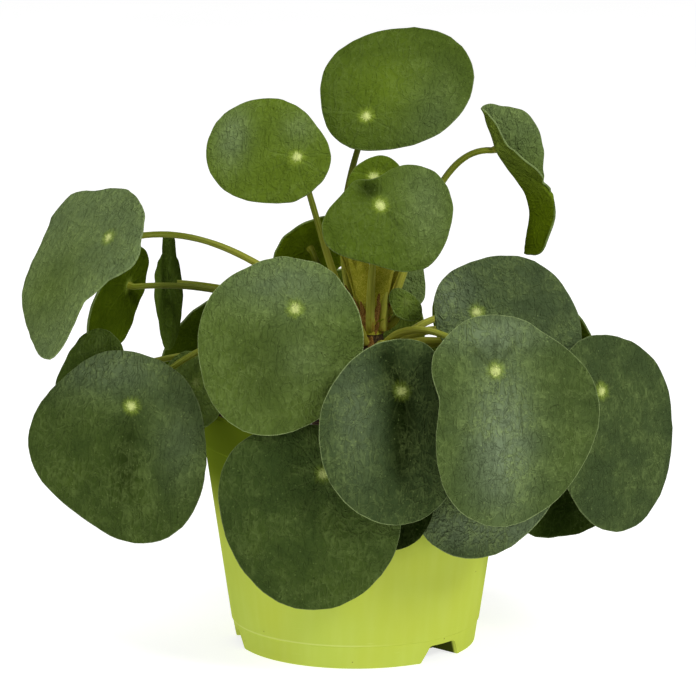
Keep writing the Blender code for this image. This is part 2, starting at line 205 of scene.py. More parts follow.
def infix(operation: str, swapped: bool = False) -> Callable[["Wire", "Wire | float"], "Wire"]:
    """Makes a Python operator that adds a Math node.

    Args:
        operation: the node's operation.
        swapped: whether the wire comes second.

    Returns:
        The operator.
    """

    def work(wire: "Wire", other: "Wire | float") -> "Wire":
        """Adds the node."""
        return wire.graph.maths(operation, *((other, wire) if swapped else (wire, other)))

    return work


@dataclass(frozen=True)
class Wire:
    """The value of a socket. Python sums on it add Math nodes."""

    graph: "Graph"
    socket: bpy.types.NodeSocket

    __add__ = infix("ADD")
    __radd__ = infix("ADD", swapped=True)
    __sub__ = infix("SUBTRACT")
    __rsub__ = infix("SUBTRACT", swapped=True)
    __mul__ = infix("MULTIPLY")
    __rmul__ = infix("MULTIPLY", swapped=True)
    __truediv__ = infix("DIVIDE")

    def swing(self, amount: float) -> "Wire":
        """A noise from 0 to 1 made to swing about 0, by half the amount each way."""
        return (self - 0.5) * amount


class Graph:
    """The nodes of one material, with short ways to add to them."""

    def __init__(self, name: str) -> None:
        """Starts a material with its Principled shader.

        Args:
            name: name of the material.
        """
        self.material = bpy.data.materials.new(name)
        self.material.use_nodes = True
        self.tree = self.material.node_tree
        self.shader = self.tree.nodes["Principled BSDF"]

    def feed(self, socket: bpy.types.NodeSocket, value: Wire | Triple | float) -> None:
        """Links a wire to a socket, or sets the socket to a plain value.

        Args:
            socket: the input to be fed.
            value: the wire, colour or number.
        """
        if isinstance(value, Wire):
            self.tree.links.new(value.socket, socket)
        elif socket.type == "RGBA":
            socket.default_value = (*value, 1.0)
        else:
            socket.default_value = value

    def add(self, kind: str, settings: dict | None = None, inputs: dict | None = None,
            output: int | str = 0) -> Wire:
        """Adds a node.

        Args:
            kind: the node's type, without ShaderNode in front.
            settings: its own settings, which are set first.
            inputs: socket name or number to a value or wire.
            output: name or number of the output that is wanted.

        Returns:
            That output.
        """
        node = self.tree.nodes.new(f"ShaderNode{kind}")
        for name, value in (settings or {}).items():
            setattr(node, name, value)
        for key, value in (inputs or {}).items():
            self.feed(node.inputs[key], value)
        return Wire(self, node.outputs[output])

    def maths(self, operation: str, *values: Wire | float) -> Wire:
        """A Math node on these values."""
        return self.add("Math", {"operation": operation}, dict(enumerate(values)))

    def join(self, x: Wire | float, y: Wire | float, z: Wire | float) -> Wire:
        """Vector of three values."""
        return self.add("CombineXYZ", None, {0: x, 1: y, 2: z})

    def parts(self, vector: Wire) -> tuple[Wire, Wire, Wire]:
        """Takes a vector apart.

        Args:
            vector: the wire that carries it.

        Returns:
            Its three values.
        """
        node = self.tree.nodes.new("ShaderNodeSeparateXYZ")
        self.feed(node.inputs[0], vector)
        return tuple(Wire(self, socket) for socket in node.outputs)

    def triple(self, name: str) -> tuple[Wire, Wire, Wire]:
        """The three values of an attribute of the piece's mesh."""
        return self.parts(self.add("Attribute", {"attribute_name": name}, output="Vector"))

    def seed(self) -> Wire:
        """The leaf's own number, from its attribute seed."""
        return self.add("Attribute", {"attribute_name": "seed"}, output="Fac")

    def place(self) -> Wire:
        """Place on the object in millimetres."""
        metres = self.add("TexCoord", output="Object")
        return self.add("VectorMath", {"operation": "SCALE"}, {0: metres, "Scale": 1 / MM})

    def away(self, x: Wire, y: Wire) -> Wire:
        """Distance of a place from the middle."""
        return self.maths("SQRT", x * x + y * y)

    def fade(self, value: Wire, low: float, high: float) -> Wire:
        """Rises smoothly from 0 to 1.

        Args:
            value: what it follows.
            low, high: where it is 0 and where it is 1; high may be the lower one.

        Returns:
            The share, from 0 to 1.
        """
        flip = high < low
        inputs = {"Value": value, "From Min": min(low, high), "From Max": max(low, high),
                  "To Min": float(flip), "To Max": float(not flip)}
        return self.add("MapRange", {"interpolation_type": "SMOOTHSTEP"}, inputs)

    def rough(self, where: Wire, size: float = 1.0, detail: float = 2.0, sway: float = 0.0) -> Wire:
        """Noise from 0 to 1 with bumps of the given size."""
        return self.add("TexNoise", None,
                        {"Vector": where, "Scale": 1 / size, "Detail": detail, "Distortion": sway})

    def cells(self, where: Wire, size: float = 1.0, feature: str = "F1") -> Wire:
        """Distance to the middle of the nearest cell, or to its edge."""
        return self.add("TexVoronoi", {"feature": feature}, {"Vector": where, "Scale": 1 / size},
                        output="Distance")

    def mix(self, factor: Wire, first: Wire | Colour, second: Wire | Colour) -> Wire:
        """Colour between two."""
        return self.add("Mix", {"data_type": "RGBA"}, {0: factor, 6: first, 7: second}, output=2)

    def coats(self, skin: Wire, *coats: tuple[Wire, Colour]) -> Wire:
        """Lays colours over a skin, one after the other.

        Args:
            skin: the lowest colour.
            coats: strength and colour of each coat.

        Returns:
            The colour that shows.
        """
        for factor, colour in coats:
            skin = self.mix(factor, skin, colour)
        return skin

    def finish(self, skin: Wire, dull: Wire | float, gloss: float, relief: Wire | None = None,
               glow: float = 0.0) -> bpy.types.Material:
        """Feeds the shader.

        Args:
            skin: colour.
            dull: roughness.
            gloss: strength of the mirror reflection.
            relief: height of the surface in millimetres, if it isn't even.
            glow: strength of its own white light.

        Returns:
            The finished material.
        """
        sockets = {"Base Color": skin, "Roughness": dull, "Specular IOR Level": gloss}
        if relief:
            sockets["Normal"] = self.add("Bump", None, {"Height": relief, "Distance": MM, "Strength": 1.0})
        if glow:
            sockets |= {"Emission Color": (1.0, 1.0, 1.0), "Emission Strength": glow}
        for name, value in sockets.items():
            self.feed(self.shader.inputs[name], value)
        return self.material


# Finishes


@dataclass(frozen=True)
class BladeFinish:
    """One face of a leaf blade.

    name: name of the material.
    deep, fresh: colour of an old and of a young leaf.
    bloom_and_sheen: colour of the dull grey film on an old leaf; it is also a painted sheen, since the face
    itself has no gloss.
    dark: colour of the painted shade in the patches, creases and between the crinkles, and of the pits.
    vein, halo, hub, margin_highlight: colours of the veins, round the hub, of the hub, and of the painted
    highlight along the edge; the vein colour also paints the pale crinkle crests.
    roughness: how dull the face is.
    vein_show: how much of the veins' colour shows.
    vein_rise: how far the veins stand out, negative where they are grooves.
    """

    name: str
    deep: Colour
    fresh: Colour
    bloom_and_sheen: Colour
    dark: Colour
    vein: Colour
    halo: Colour
    hub: Colour
    margin_highlight: Colour
    roughness: float
    vein_show: float
    vein_rise: float

    MAIN_VEINS = 9
    VEIN_HALF = 0.8
    VEIN_THINS = 0.012  # how much narrower a vein is for each step outwards
    VEIN_ENDS = 26.0
    HALO_OUT = 4.6
    HUB_OUT = 2.4
    MARGIN_WIDE = 0.5
    LINE_HALF = 0.9  # share of a fold's side that its crest takes up

    def veins(self, g: Graph, x: Wire, y: Wire, out: Wire, sway: Wire) -> Wire:
        """Main veins, which run out of the hub and fade.

        Args:
            g: the material's graph.
            x, y: place on the flat-laid blade.
            out: distance from the hub.
            sway: noise that bends the veins.

        Returns:
            1 on a vein near the hub, and 0 away from it.
        """
        turn = g.maths("ARCTAN2", x, y) + sway.swing(0.55)
        aside = out * g.maths("PINGPONG", turn, math.pi / self.MAIN_VEINS)
        wide = self.VEIN_HALF - self.VEIN_THINS * out
        line = 1.0 - g.fade(aside / wide, 0.15, 1.0)
        return line * g.fade(out, self.VEIN_ENDS, 3.0) * g.fade(out, 0.8, 2.4)

    def make(self) -> bpy.types.Material:
        """Builds the material from the blade's attributes lay, tone, signs and seed.

        Returns:
            The finish of one face of a blade.
        """
        g = Graph(self.name)
        x, y, edge = g.triple("lay")
        youth, bloom_and_sheen, painted_shade = g.triple("tone")
        edge_highlight, mark, _ = g.triple("signs")
        seed = g.seed()
        flat = g.join(x, y, seed * 40.0)
        out = g.away(x, y)
        off_hub = out + 0.4

        # Noises, from the largest to the smallest
        broad = g.rough(flat, 16.0, sway=0.4)
        blotch = g.rough(flat, 2.6, detail=4.0, sway=0.5)
        grain = g.rough(flat, 0.7, detail=3.0)
        streak = g.rough(g.join(x / off_hub * 12.0, y / off_hub * 12.0, out / 14.0 + seed * 9.0))

        # Crinkles are the lines along which a noise passes its middle
        crinkle = g.maths("ABSOLUTE", g.rough(flat, 4.6, sway=1.0) - 0.5) * 10.0
        crease = g.maths("ABSOLUTE", g.rough(g.join(x / 2.6, y / 7.5, seed * 30.0), sway=0.8) - 0.5) * 9.0
        line = g.fade(crinkle, self.LINE_HALF, 0.0) + g.fade(crease, self.LINE_HALF, 0.0)
        veins = self.veins(g, x, y, out, g.rough(flat, 17.0, detail=1.0))
        drift = g.join(blotch * 3.0, broad * 4.0, 0.0)
        drifted = g.add("VectorMath", {"operation": "ADD"}, {0: flat, 1: drift})
        net = g.fade(g.cells(drifted, 4.2, "DISTANCE_TO_EDGE"), 0.14, 0.0)
        fleck = g.fade(g.cells(flat, 1.5), 0.26, 0.1) * g.fade(blotch, 0.44, 0.62)
        pit = g.fade(g.cells(g.join(x, y, seed * 40.0 + 9.0), 8.0), 0.065, 0.03)

        aged = youth + broad.swing(0.25) + streak.swing(0.08) + blotch.swing(0.1) + grain.swing(0.12)
        film_and_sheen = bloom_and_sheen * (0.7 + 0.35 * blotch + 0.15 * streak + 0.15 * grain)
        near = out + blotch.swing(2.6) + streak.swing(2.8)
        rim = g.fade(edge + grain.swing(0.3) + broad.swing(0.9), self.MARGIN_WIDE, 0.1)
        skin = g.coats(
            g.mix(g.fade(aged, 0.0, 1.0), self.deep, self.fresh),
            # Grey film, which also paints the sheen where the lamps would glance off the blade
            (g.fade(film_and_sheen, 0.0, 1.25), self.bloom_and_sheen),
            # Painted shade from the patches and creases
            (g.fade(painted_shade, 0.0, 1.0) * 0.92, self.dark),
            ((veins + net * 0.3) * self.vein_show, self.vein),
            # Painted highlight on the crests of the crinkles
            (line * (0.02 + 0.24 * bloom_and_sheen) * g.fade(broad, 0.35, 0.6), self.vein),
            # Painted shade between the crinkles
            (g.fade(crinkle * crease, 3.0, 9.0) * 0.2, self.dark),
            (fleck * (0.08 + 0.45 * bloom_and_sheen), self.vein),
            (pit * 0.5, self.dark),
            (g.fade(near, self.HALO_OUT, 0.6) * 0.6 * mark, self.halo),
            (g.fade(near, self.HUB_OUT, 0.4) * 0.8 * mark, self.hub),
            # Painted highlight along the edge, where the thick rim catches the light
            (rim * edge_highlight, self.margin_highlight),
        )
        rumple = (0.5 * blotch + 0.45 * line - 0.3 * net) * (0.35 + bloom_and_sheen)
        relief = 0.15 * grain + 0.3 * streak + rumple + self.vein_rise * veins + 1.5 * broad
        dull = self.roughness + blotch.swing(0.2) + bloom_and_sheen * 0.1 + grain.swing(0.1)
        return g.finish(skin, dull, 0.0, relief)


@dataclass(frozen=True)
class StalkFinish:
    """Leaf stalk: fleshy, with fine lines along it, and rusty where it leaves the stem.

    name: name of the material.
    flesh, pale: its colours, in streaks.
    dark: colour of the painted shade on a stalk that lies in the leaves' shade.
    foot: its colour towards the stem, paler and yellower; partly the stalk's own colour and partly painted
    light against the shade in the crown.
    rust: colour of the scars and dry skin at its base.
    """

    name: str
    flesh: Colour
    pale: Colour
    dark: Colour
    foot: Colour
    rust: Colour

    def make(self) -> bpy.types.Material:
        """Builds the material from the stalk's attributes run, tone and seed.

        Returns:
            The stalks' finish.
        """
        g = Graph(self.name)
        x, y, along = g.triple("run")
        low, rust, dim = g.triple("tone")
        seed = g.seed()
        line = g.rough(g.join(x * 3.0, y * 3.0, along / 22.0 + seed * 11.0), detail=3.0)
        blotch = g.rough(g.join(x, y, along / 3.0 + seed * 7.0), detail=3.0)
        fleck = g.fade(g.cells(g.join(x * 2.0, y * 2.0, along / 1.6 + seed * 4.0)), 0.22, 0.08)
        dry = g.fade(rust + blotch.swing(0.9), 0.25, 0.85)
        skin = g.coats(
            g.mix(g.fade(line, 0.35, 0.65), self.flesh, self.pale),
            # Paler foot: partly the stalk's own colour, partly painted light against the crown's shade
            (low * (0.55 + line.swing(0.6)), self.foot),
            (fleck * 0.35, self.rust),
            (dry * 0.9, self.rust),
            # Painted shade on a stalk in the leaves' shade
            (dim * 0.8, self.dark),
        )
        relief = 0.12 * line + 0.08 * blotch + 0.05 * fleck
        return g.finish(skin, 0.42 + blotch.swing(0.15) + dry * 0.25, 0.05, relief)


@dataclass(frozen=True)
class PlasticFinish:
    """Thin coloured plastic of a nursery pot, moulded, with a fine matt grain.

    name: name of the material.
    body, warm: its colour and the slightly yellower one that it drifts to.
    scuff_and_highlight: colour of rubbed places, and of the painted highlight along the seam above the
    foot.
    dirt: colour of soil specks.
    deep: colour of the upper part, painted darker all round as the shade of the leaves above it; wet soil
    behind the thin plastic deepens it a little.
    inside_shade: colour inside the foot, painted dark as the shade in the recess under the pot.
    """

    name: str
    body: Colour
    warm: Colour
    scuff_and_highlight: Colour
    dirt: Colour
    deep: Colour
    inside_shade: Colour

    # Heights at which the painted shade of the leaves starts and is full
    LEAF_SHADE_FROM = 42.0
    LEAF_SHADE_FULL = 76.0
    SEAM_HALF = 0.45

    def make(self) -> bpy.types.Material:
        """Builds the material from the place on the pot.

        Returns:
            The pot's finish.
        """
        g = Graph(self.name)
        place = g.place()
        x, y, height = g.parts(place)
        broad = g.rough(place, 45.0)
        cloud = g.rough(place, 7.0, detail=3.0)
        grain = g.rough(place, 0.45)
        flow = g.rough(g.join(x / 4.0, y / 4.0, height / 90.0))
        rub = g.fade(g.rough(g.join(x / 9.0, y / 9.0, height / 1.1), detail=3.0), 0.66, 0.78)
        rub = rub * g.fade(height, 26.0, 2.0)
        speck = g.fade(g.cells(place, 5.5), 0.07, 0.03) * g.fade(cloud, 0.52, 0.6)
        seam_highlight = g.fade(g.maths("ABSOLUTE", height - Pot.foot_height - 0.3), self.SEAM_HALF, 0.15)
        inward = g.away(x, y) - height * Pot.taper - Pot.foot_radius
        skin = g.coats(
            g.mix(g.fade(broad, 0.3, 0.7), self.body, self.warm),
            (g.fade(flow, 0.3, 0.8) * 0.12, self.scuff_and_highlight),
            (rub * 0.35, self.scuff_and_highlight),
            # Painted highlight along the seam above the foot, where the step's edge catches the light,
            # fading out towards the right
            (seam_highlight * 0.55 * g.fade(x + broad.swing(30.0), 22.0, -4.0), self.scuff_and_highlight),
            # Painted shade of the leaves: the upper part darker olive all round
            (g.fade(height + cloud * 6.0, self.LEAF_SHADE_FROM, self.LEAF_SHADE_FULL) * 0.9, self.deep),
            (speck * 0.7, self.dirt),
            # Painted shade inside the foot, seen through the notches
            (g.fade(inward, -1.0, -2.4) * g.fade(height, 9.6, 8.8) * 0.95, self.inside_shade),
        )
        relief = 0.018 * grain + 0.05 * cloud + 0.03 * flow + 0.25 * broad + 0.02 * rub
        return g.finish(skin, 0.5 + cloud.swing(0.12) + grain.swing(0.08) + rub * 0.15, 0.0, relief)


@dataclass(frozen=True)
class EarthFinish:
    """Peaty potting mix, bark or dry scale: grains of two colours with fibres.

    name: name of the material.
    dark, light: the two colours.
    grain: size of the grains.
    relief: how far they stand out.
    """

    name: str
    dark: Colour
    light: Colour
    grain: float
    relief: float

    def make(self) -> bpy.types.Material:
        """Builds the material from the place on the object.

        Returns:
            The finish of the soil, its grains, the stem or its scales.
        """
        g = Graph(self.name)
        place = g.place()
        x, y, height = g.parts(place)
        lump = g.cells(place, self.grain * 1.6)
        crumb = g.rough(place, self.grain, detail=4.0, sway=0.6)
        damp = g.rough(place, self.grain * 9.0)
        fibre = g.rough(g.join(x / self.grain, y / self.grain, height / (6.0 * self.grain)), detail=3.0)
        skin = g.coats(
            g.mix(g.fade(crumb + fibre.swing(0.5), 0.36, 0.68), self.dark, self.light),
            (g.fade(damp, 0.4, 0.65) * 0.5, self.dark),
        )
        relief = self.relief * (crumb + 0.6 * fibre - 0.5 * lump)
        return g.finish(skin, 0.75 + 0.2 * crumb, 0.25, relief)


@dataclass(frozen=True)
class FloorFinish:
    """Pale studio floor, a little lit by itself so that it comes out white."""

    name: str
    body: Colour
    light: Colour
    glow: float

    def make(self) -> bpy.types.Material:
        """Builds the material.

        Returns:
            The floor's finish.
        """
        g = Graph(self.name)
        cloud = g.rough(g.place(), 180.0)
        return g.finish(g.mix(cloud * 0.2, self.body, self.light), 0.9, 0.0, glow=self.glow)


UPPER = BladeFinish(
    "leaf_upper", deep=shade(36, 52, 18), fresh=shade(98, 120, 26), bloom_and_sheen=shade(118, 134, 102),
    dark=shade(14, 24, 2), vein=shade(150, 172, 100), halo=shade(156, 180, 60), hub=shade(232, 242, 156),
    margin_highlight=shade(172, 190, 128), roughness=0.46, vein_show=0.04, vein_rise=-0.3)
UNDER = BladeFinish(
    "leaf_under", deep=shade(46, 62, 8), fresh=shade(106, 128, 16), bloom_and_sheen=shade(120, 136, 66),
    dark=shade(24, 34, 0), vein=shade(140, 160, 60), halo=shade(146, 168, 60), hub=shade(180, 196, 96),
    margin_highlight=shade(156, 176, 90), roughness=0.55, vein_show=0.06, vein_rise=0.3)
STALK = StalkFinish(
    "leaf_stalk", flesh=shade(114, 124, 22), pale=shade(148, 156, 64), dark=shade(40, 52, 8),
    foot=shade(206, 204, 84), rust=shade(146, 96, 30))
PLASTIC = PlasticFinish(
    "pot_plastic", body=shade(185, 202, 84), warm=shade(187, 200, 76), scuff_and_highlight=shade(208, 220, 124),
    dirt=shade(96, 88, 40), deep=shade(78, 97, 4), inside_shade=shade(34, 42, 6))
PEAT = EarthFinish("potting_mix", shade(28, 19, 12), shade(92, 66, 42), grain=0.8, relief=0.7)
CRUMB = EarthFinish("peat_crumb", shade(36, 24, 15), shade(104, 76, 48), grain=0.5, relief=0.4)
PERLITE = EarthFinish("perlite", shade(188, 184, 172), shade(232, 230, 222), grain=0.3, relief=0.2)
BARK = EarthFinish("stem_bark", shade(46, 34, 18), shade(104, 84, 50), grain=0.6, relief=0.35)
SCALE = EarthFinish("dry_scale", shade(118, 82, 34), shade(192, 146, 74), grain=0.35, relief=0.12)
SHEATH = EarthFinish("green_sheath", shade(158, 158, 24), shade(216, 208, 78), grain=0.3, relief=0.12)
YOUNG = EarthFinish("young_scale", shade(120, 134, 16), shade(176, 190, 44), grain=0.5, relief=0.1)
FLOOR = FloorFinish("studio_floor", body=(0.5, 0.5, 0.5), light=(0.86, 0.86, 0.86), glow=0.755)


# Pot


@dataclass
class Pot:
    """Tapered plastic nursery pot with an upright band below its rim and a stepped, notched foot."""

    height: float = 93.0
    rim_radius: float = 60.6
    band_height: float = 14.0  # upright band below the rim
    band_step: float = 1.5  # how far the band stands out of the wall
    foot_radius: float = 45.85
    foot_height: float = 9.0
    foot_step: float = 0.45  # how far the wall stands out of the foot
    wall: float = 1.7
    floor_thick: float = 1.8
    taper: float = math.tan(math.radians(8.3))
    notch_turns: tuple[float, ...] = (-45.0, 75.0, 190.5)  # directions of the notches, degrees
    notch_width: float = 19.0
    notch_top_width: float = 14.0
    notch_height: float = 6.5
    notch_depth: float = 14.0
    notch_round: float = 1.6
    notch_flare: float = 3.0  # how much wider a notch's cutter is below the foot
    cutter_out: float = 8.0  # how far the cutter stands out of the foot
    cutter_below: float = 2.0
    lining_inset: float = 0.9  # share of the wall by which a lining stays inside the foot
    lining_sunk: float = 0.5  # how far a lining reaches into the floor
    drain_holes: int = 6
    drain_radius: float = 4.0
    drain_circle: float = 31.0
    edge_round: float = 0.55
    round_share: float = 0.45  # greatest share of a side that a rounding takes up
    round_steps: int = 4
    sides: int = 192
    sharp_above: float = 35.0  # degrees

    def wall_radius(self, height: float) -> float:
        """Outer radius of the wall at a height above the foot."""
        foot_top = self.foot_radius + self.foot_height * self.taper + self.foot_step
        return foot_top + (height - self.foot_height) * self.taper

    def corners(self) -> list[Triple]:
        """Section of the pot, up the outside and down the inside.

        Returns:
            Radius, height and rounding of each corner.
        """
        band_foot = self.height - self.band_height
        band_top = self.wall_radius(self.height) + self.band_step
        floor_top = self.foot_height + self.floor_thick
        foot_out = self.foot_radius + self.foot_height * self.taper
        soft = self.edge_round
        return [
            (self.foot_radius, 0.0, soft),
            (foot_out, self.foot_height - 0.15, 0.25),
            (self.wall_radius(self.foot_height), self.foot_height, soft),
            (self.wall_radius(band_foot), band_foot - 0.3, 0.7),
            (self.wall_radius(band_foot) + self.band_step, band_foot, 0.6),
            (band_top, self.height, 0.75),
            (self.wall_radius(self.height) - self.wall, self.height, 0.5),
            (self.wall_radius(floor_top) - self.wall, floor_top, 2.0),
            (self.drain_radius, floor_top, 0.4),
            (self.drain_radius, self.foot_height, 0.4),
            (foot_out - self.wall, self.foot_height, 1.0),
            (self.foot_radius - self.wall, 0.0, soft),
        ]

    def profile(self) -> list[Pair]:
        """Rounds the corners of the section.

        Returns:
            Radius and height of each of its points.
        """
        corners = self.corners()
        points = []
        for index, (radius, height, soft) in enumerate(corners):
            corner = Vector((radius, height))
            before = Vector(corners[index - 1][:2]) - corner
            after = Vector(corners[(index + 1) % len(corners)][:2]) - corner
            soft = min(soft, self.round_share * before.length, self.round_share * after.length)
            first, last = before.normalized() * soft, after.normalized() * soft
            for step in range(self.round_steps + 1):
                t = step / self.round_steps
                points.append(tuple(corner + first * (1 - t) ** 2 + last * t * t))
        return points

    def block(self, widths: Pair, reaches: Pair, heights: Pair) -> bmesh.types.BMesh:
        """A block across the foot's edge with sloped sides.

        Args:
            widths: its width at the bottom and at the top.
            reaches: its inner and outer end, outwards from the foot's radius.
            heights: its bottom and top.

        Returns:
            The block, on the positive X axis.
        """
        bm = bmesh.new()
        bmesh.ops.create_cube(bm, size=1.0)
        for vert in bm.verts:
            top, outside = vert.co.z > 0, vert.co.x > 0
            vert.co = (self.foot_radius + reaches[outside], vert.co.y * widths[top], heights[top])
        return bm

    def notch(self, turn: float) -> bmesh.types.BMesh:
        """A wedge with sloped sides and soft edges that opens the foot from below.

        Args:
            turn: its compass direction.

        Returns:
            The wedge, to be cut out.
        """
        widths = (self.notch_width + self.notch_flare, self.notch_top_width)
        reaches = (-self.notch_depth, self.cutter_out)
        bm = self.block(widths, reaches, (-self.cutter_below, self.notch_height))
        level = [edge for edge in bm.edges if all(vert.co.z > 0 for vert in edge.verts)]
        bmesh.ops.bevel(bm, geom=level, offset=self.notch_round, segments=5, profile=0.5,
                        affect="EDGES", material=-1)
        bm.transform(Matrix.Rotation(math.radians(turn), 4, "Z"))
        return bm

    def lining(self, turn: float) -> bmesh.types.BMesh:
        """The block round a notch, which leaves the notch's side walls and end wall when it is cut.

        Args:
            turn: its compass direction.

        Returns:
            The block, to be joined on.
        """
        widths = (self.notch_width + 2 * self.wall, self.notch_top_width + 2 * self.wall)
        reaches = (-self.notch_depth - self.wall, -self.lining_inset * self.wall)
        bm = self.block(widths, reaches, (0.0, self.foot_height + self.lining_sunk))
        bm.transform(Matrix.Rotation(math.radians(turn), 4, "Z"))
        return bm

    def drain(self, turn: float) -> bmesh.types.BMesh:
        """A round plug that opens one drain hole in the floor.

        Args:
            turn: its compass direction.

        Returns:
            The plug, to be cut out.
        """
        bm = bmesh.new()
        bmesh.ops.create_cone(bm, cap_ends=True, segments=32, radius1=self.drain_radius,
                              radius2=self.drain_radius, depth=4 * self.floor_thick)
        middle = compass(turn) * self.drain_circle
        middle.z = self.foot_height + self.floor_thick / 2
        bmesh.ops.translate(bm, verts=bm.verts[:], vec=middle)
        return bm

    def build(self) -> None:
        """Turns the pot, cuts its notches and drain holes, and dresses it."""
        pot = add_piece("pot_moulding", turned(self.profile(), self.sides), [PLASTIC.make()],
                        replaces="pot")
        drain_turns = [(index + 0.5) * 360 / self.drain_holes for index in range(self.drain_holes)]
        tools = []
        for operation, shape, turns in (("UNION", self.lining, self.notch_turns),
                                        ("DIFFERENCE", self.notch, self.notch_turns),
                                        ("DIFFERENCE", self.drain, drain_turns)):
            for turn in turns:
                knife = pot.modifiers.new("knife", "BOOLEAN")
                knife.operation = operation
                knife.solver = "EXACT"
                knife.object = add_mesh("tool", shape(turn))
                tools.append(knife.object)
        pot.data = bpy.data.meshes.new_from_object(pot.evaluated_get(bpy.context.evaluated_depsgraph_get()))
        pot.modifiers.clear()
        soften(pot.data, self.sharp_above)
        for tool in tools:
            bpy.data.objects.remove(tool, do_unlink=True)


# Stem


@dataclass
class Stem:
    """Short woody stem with the scars of fallen leaves and dry scales at the stalks' feet."""

    x: float = 6.0
    radius: float = 5.0
    foot: float = 62.0
    narrows: float = 112.0  # above this height it tapers
    top: float = 128.0
    tip_share: float = 0.75
    sides: int = 40
    ring_step: float = 0.8
    scar_step: float = 4.6
    scar_turn: float = 137.5
    scar_half: Pair = (2.3, 1.5)  # half width and half height of a scar
    scar_rise: float = 0.3
    scar_sink: float = 0.42
    bark_rise: float = 0.16
    relief_limits: Pair = (-0.4, 0.3)
    tip_long: float = 3.0
    scale_turn: float = 24.0  # degrees from a stalk's foot to the scale beside it
    scale_drop: Pair = (-2.6, -1.2)  # from a stalk's foot to the start of its scales
    scale_tip: float = 0.12
    scale_clear: float = 0.25
    scale_hollow: float = 0.25  # how far a scale's middle stands out of its sides
    scale_thick: float = 0.22

    def radius_at(self, height: float) -> float:
        """The stem is even up to the lower leaf stalks, and narrows above them."""
        share = max(0.0, (height - self.narrows) / (self.top - self.narrows))
        return self.radius * (1.0 - (1.0 - self.tip_share) * share)

    def relief(self, angle: float, height: float) -> float:
        """Scars and bark at one place, never more than the gap round the stem.

        Args:
            angle: direction from the stem's middle, radians.
            height: height of the place.

        Returns:
            How far the place stands out of the even surface.
        """
        total = self.bark_rise * uneven((math.cos(angle) * 3, math.sin(angle) * 3, height / 2.2), 1.0)
        for index in range(int((self.top - self.foot) / self.scar_step)):
            middle = self.foot + (index + 0.5) * self.scar_step
            aside = math.remainder(angle - math.radians(index * self.scar_turn), math.tau) * self.radius
            far = math.hypot(aside / self.scar_half[0], (height - middle) / self.scar_half[1])
            total += self.scar_rise * smooth(far, 1.5, 1.0) - self.scar_sink * smooth(far, 0.85, 0.35)
        return max(self.relief_limits[0], min(self.relief_limits[1], total))

    def trunk(self) -> bmesh.types.BMesh:
        """Turns the stem and gives it its scars, bark and blunt tip.

        Returns:
            The stem without its scales.
        """
        long = self.top - self.tip_long - self.foot
        count = int(long / self.ring_step)
        heights = [self.foot + long * index / count for index in range(count + 1)]
        side = [(self.radius_at(height), height) for height in heights]
        tip = [(3.1, self.top - 1.4), (2.4, self.top - 0.2), (1.3, self.top + 0.7), (0.0, self.top + 1)]
        bm = turned([(0.0, self.foot)] + side + tip, self.sides)
        for vert in bm.verts:
            out = math.hypot(vert.co.x, vert.co.y)
            if out > 2.0 and vert.co.z > self.foot:
                wanted = out + self.relief(math.atan2(vert.co.y, vert.co.x), vert.co.z)
                vert.co.x *= wanted / out
                vert.co.y *= wanted / out
        bmesh.ops.translate(bm, verts=bm.verts[:], vec=(self.x, 0.0, 0.0))
        return bm

    def scales(self, roots: Iterable[Pair], longs: Pair, wides: Pair, leans: Pair,
               seed: int) -> bmesh.types.BMesh:
        """Pointed scales, one on each side of every stalk's foot.

        Args:
            roots: direction in degrees and height of each stalk's foot.
            longs, wides: least and greatest length and width of a scale.
            leans: least and greatest share of its length by which a scale leans outwards.
            seed: start of the random numbers.

        Returns:
            The scales in one mesh.
        """
        dice = random.Random(seed)
        bm = bmesh.new()
        for direction, height in roots:
            for side in (-1, 1):
                long, wide = dice.uniform(*longs), dice.uniform(*wides)
                lean, start = dice.uniform(*leans), height + dice.uniform(*self.scale_drop)
                made = bmesh.ops.create_grid(bm, x_segments=5, y_segments=7, size=0.5)
                for vert in made["verts"]:
                    across, up = vert.co.x * 2, vert.co.y + 0.5
                    half = wide / 2 * (1 - up ** 1.7) + self.scale_tip
                    out = self.radius_at(start) + self.scale_clear + lean * long * up ** 1.6
                    out += self.scale_hollow * math.cos(across * math.pi / 2)
                    angle = math.radians(direction + side * self.scale_turn) + across * half / self.radius
                    vert.co = Vector((self.x + out * math.cos(angle), out * math.sin(angle),
                                      start + long * up * (1 - 0.3 * lean * up)))
        bmesh.ops.recalc_face_normals(bm, faces=bm.faces[:])
        bmesh.ops.solidify(bm, geom=bm.faces[:], thickness=self.scale_thick)
        bmesh.ops.recalc_face_normals(bm, faces=bm.faces[:])
        return bm

    def build(self, roots: list[Pair]) -> None:
        """Makes the stem and its scales.

        Args:
            roots: direction in degrees and height of each stalk's foot.
        """
        add_piece("stem_trunk", self.trunk(), [BARK.make()], replaces="stem")
        dry, upper = SCALE.make(), [root for root in roots if root[1] > self.top - 8]
        end = [(-32.0, self.top - 4)]
        # Name, feet, lengths, widths, leans, seed and finish of each set of scales
        for name, feet, longs, wides, leans, seed, finish in (
            ("stem_scales", roots, (4.0, 7.0), (2.0, 3.2), (0.15, 0.6), 5, dry),
            ("stem_sheaths_dry", upper, (13.0, 22.0), (2.4, 3.8), (0.2, 0.4), 8, dry),
            ("stem_sheaths_green", upper, (30.0, 44.0), (5.5, 8.5), (0.15, 0.35), 12, SHEATH.make()),
            ("stem_bud", end, (4.5, 7.0), (3.0, 4.0), (0.7, 0.9), 3, YOUNG.make()),
        ):
            add_piece(name, self.scales(feet, longs, wides, leans, seed), [finish])


# Soil


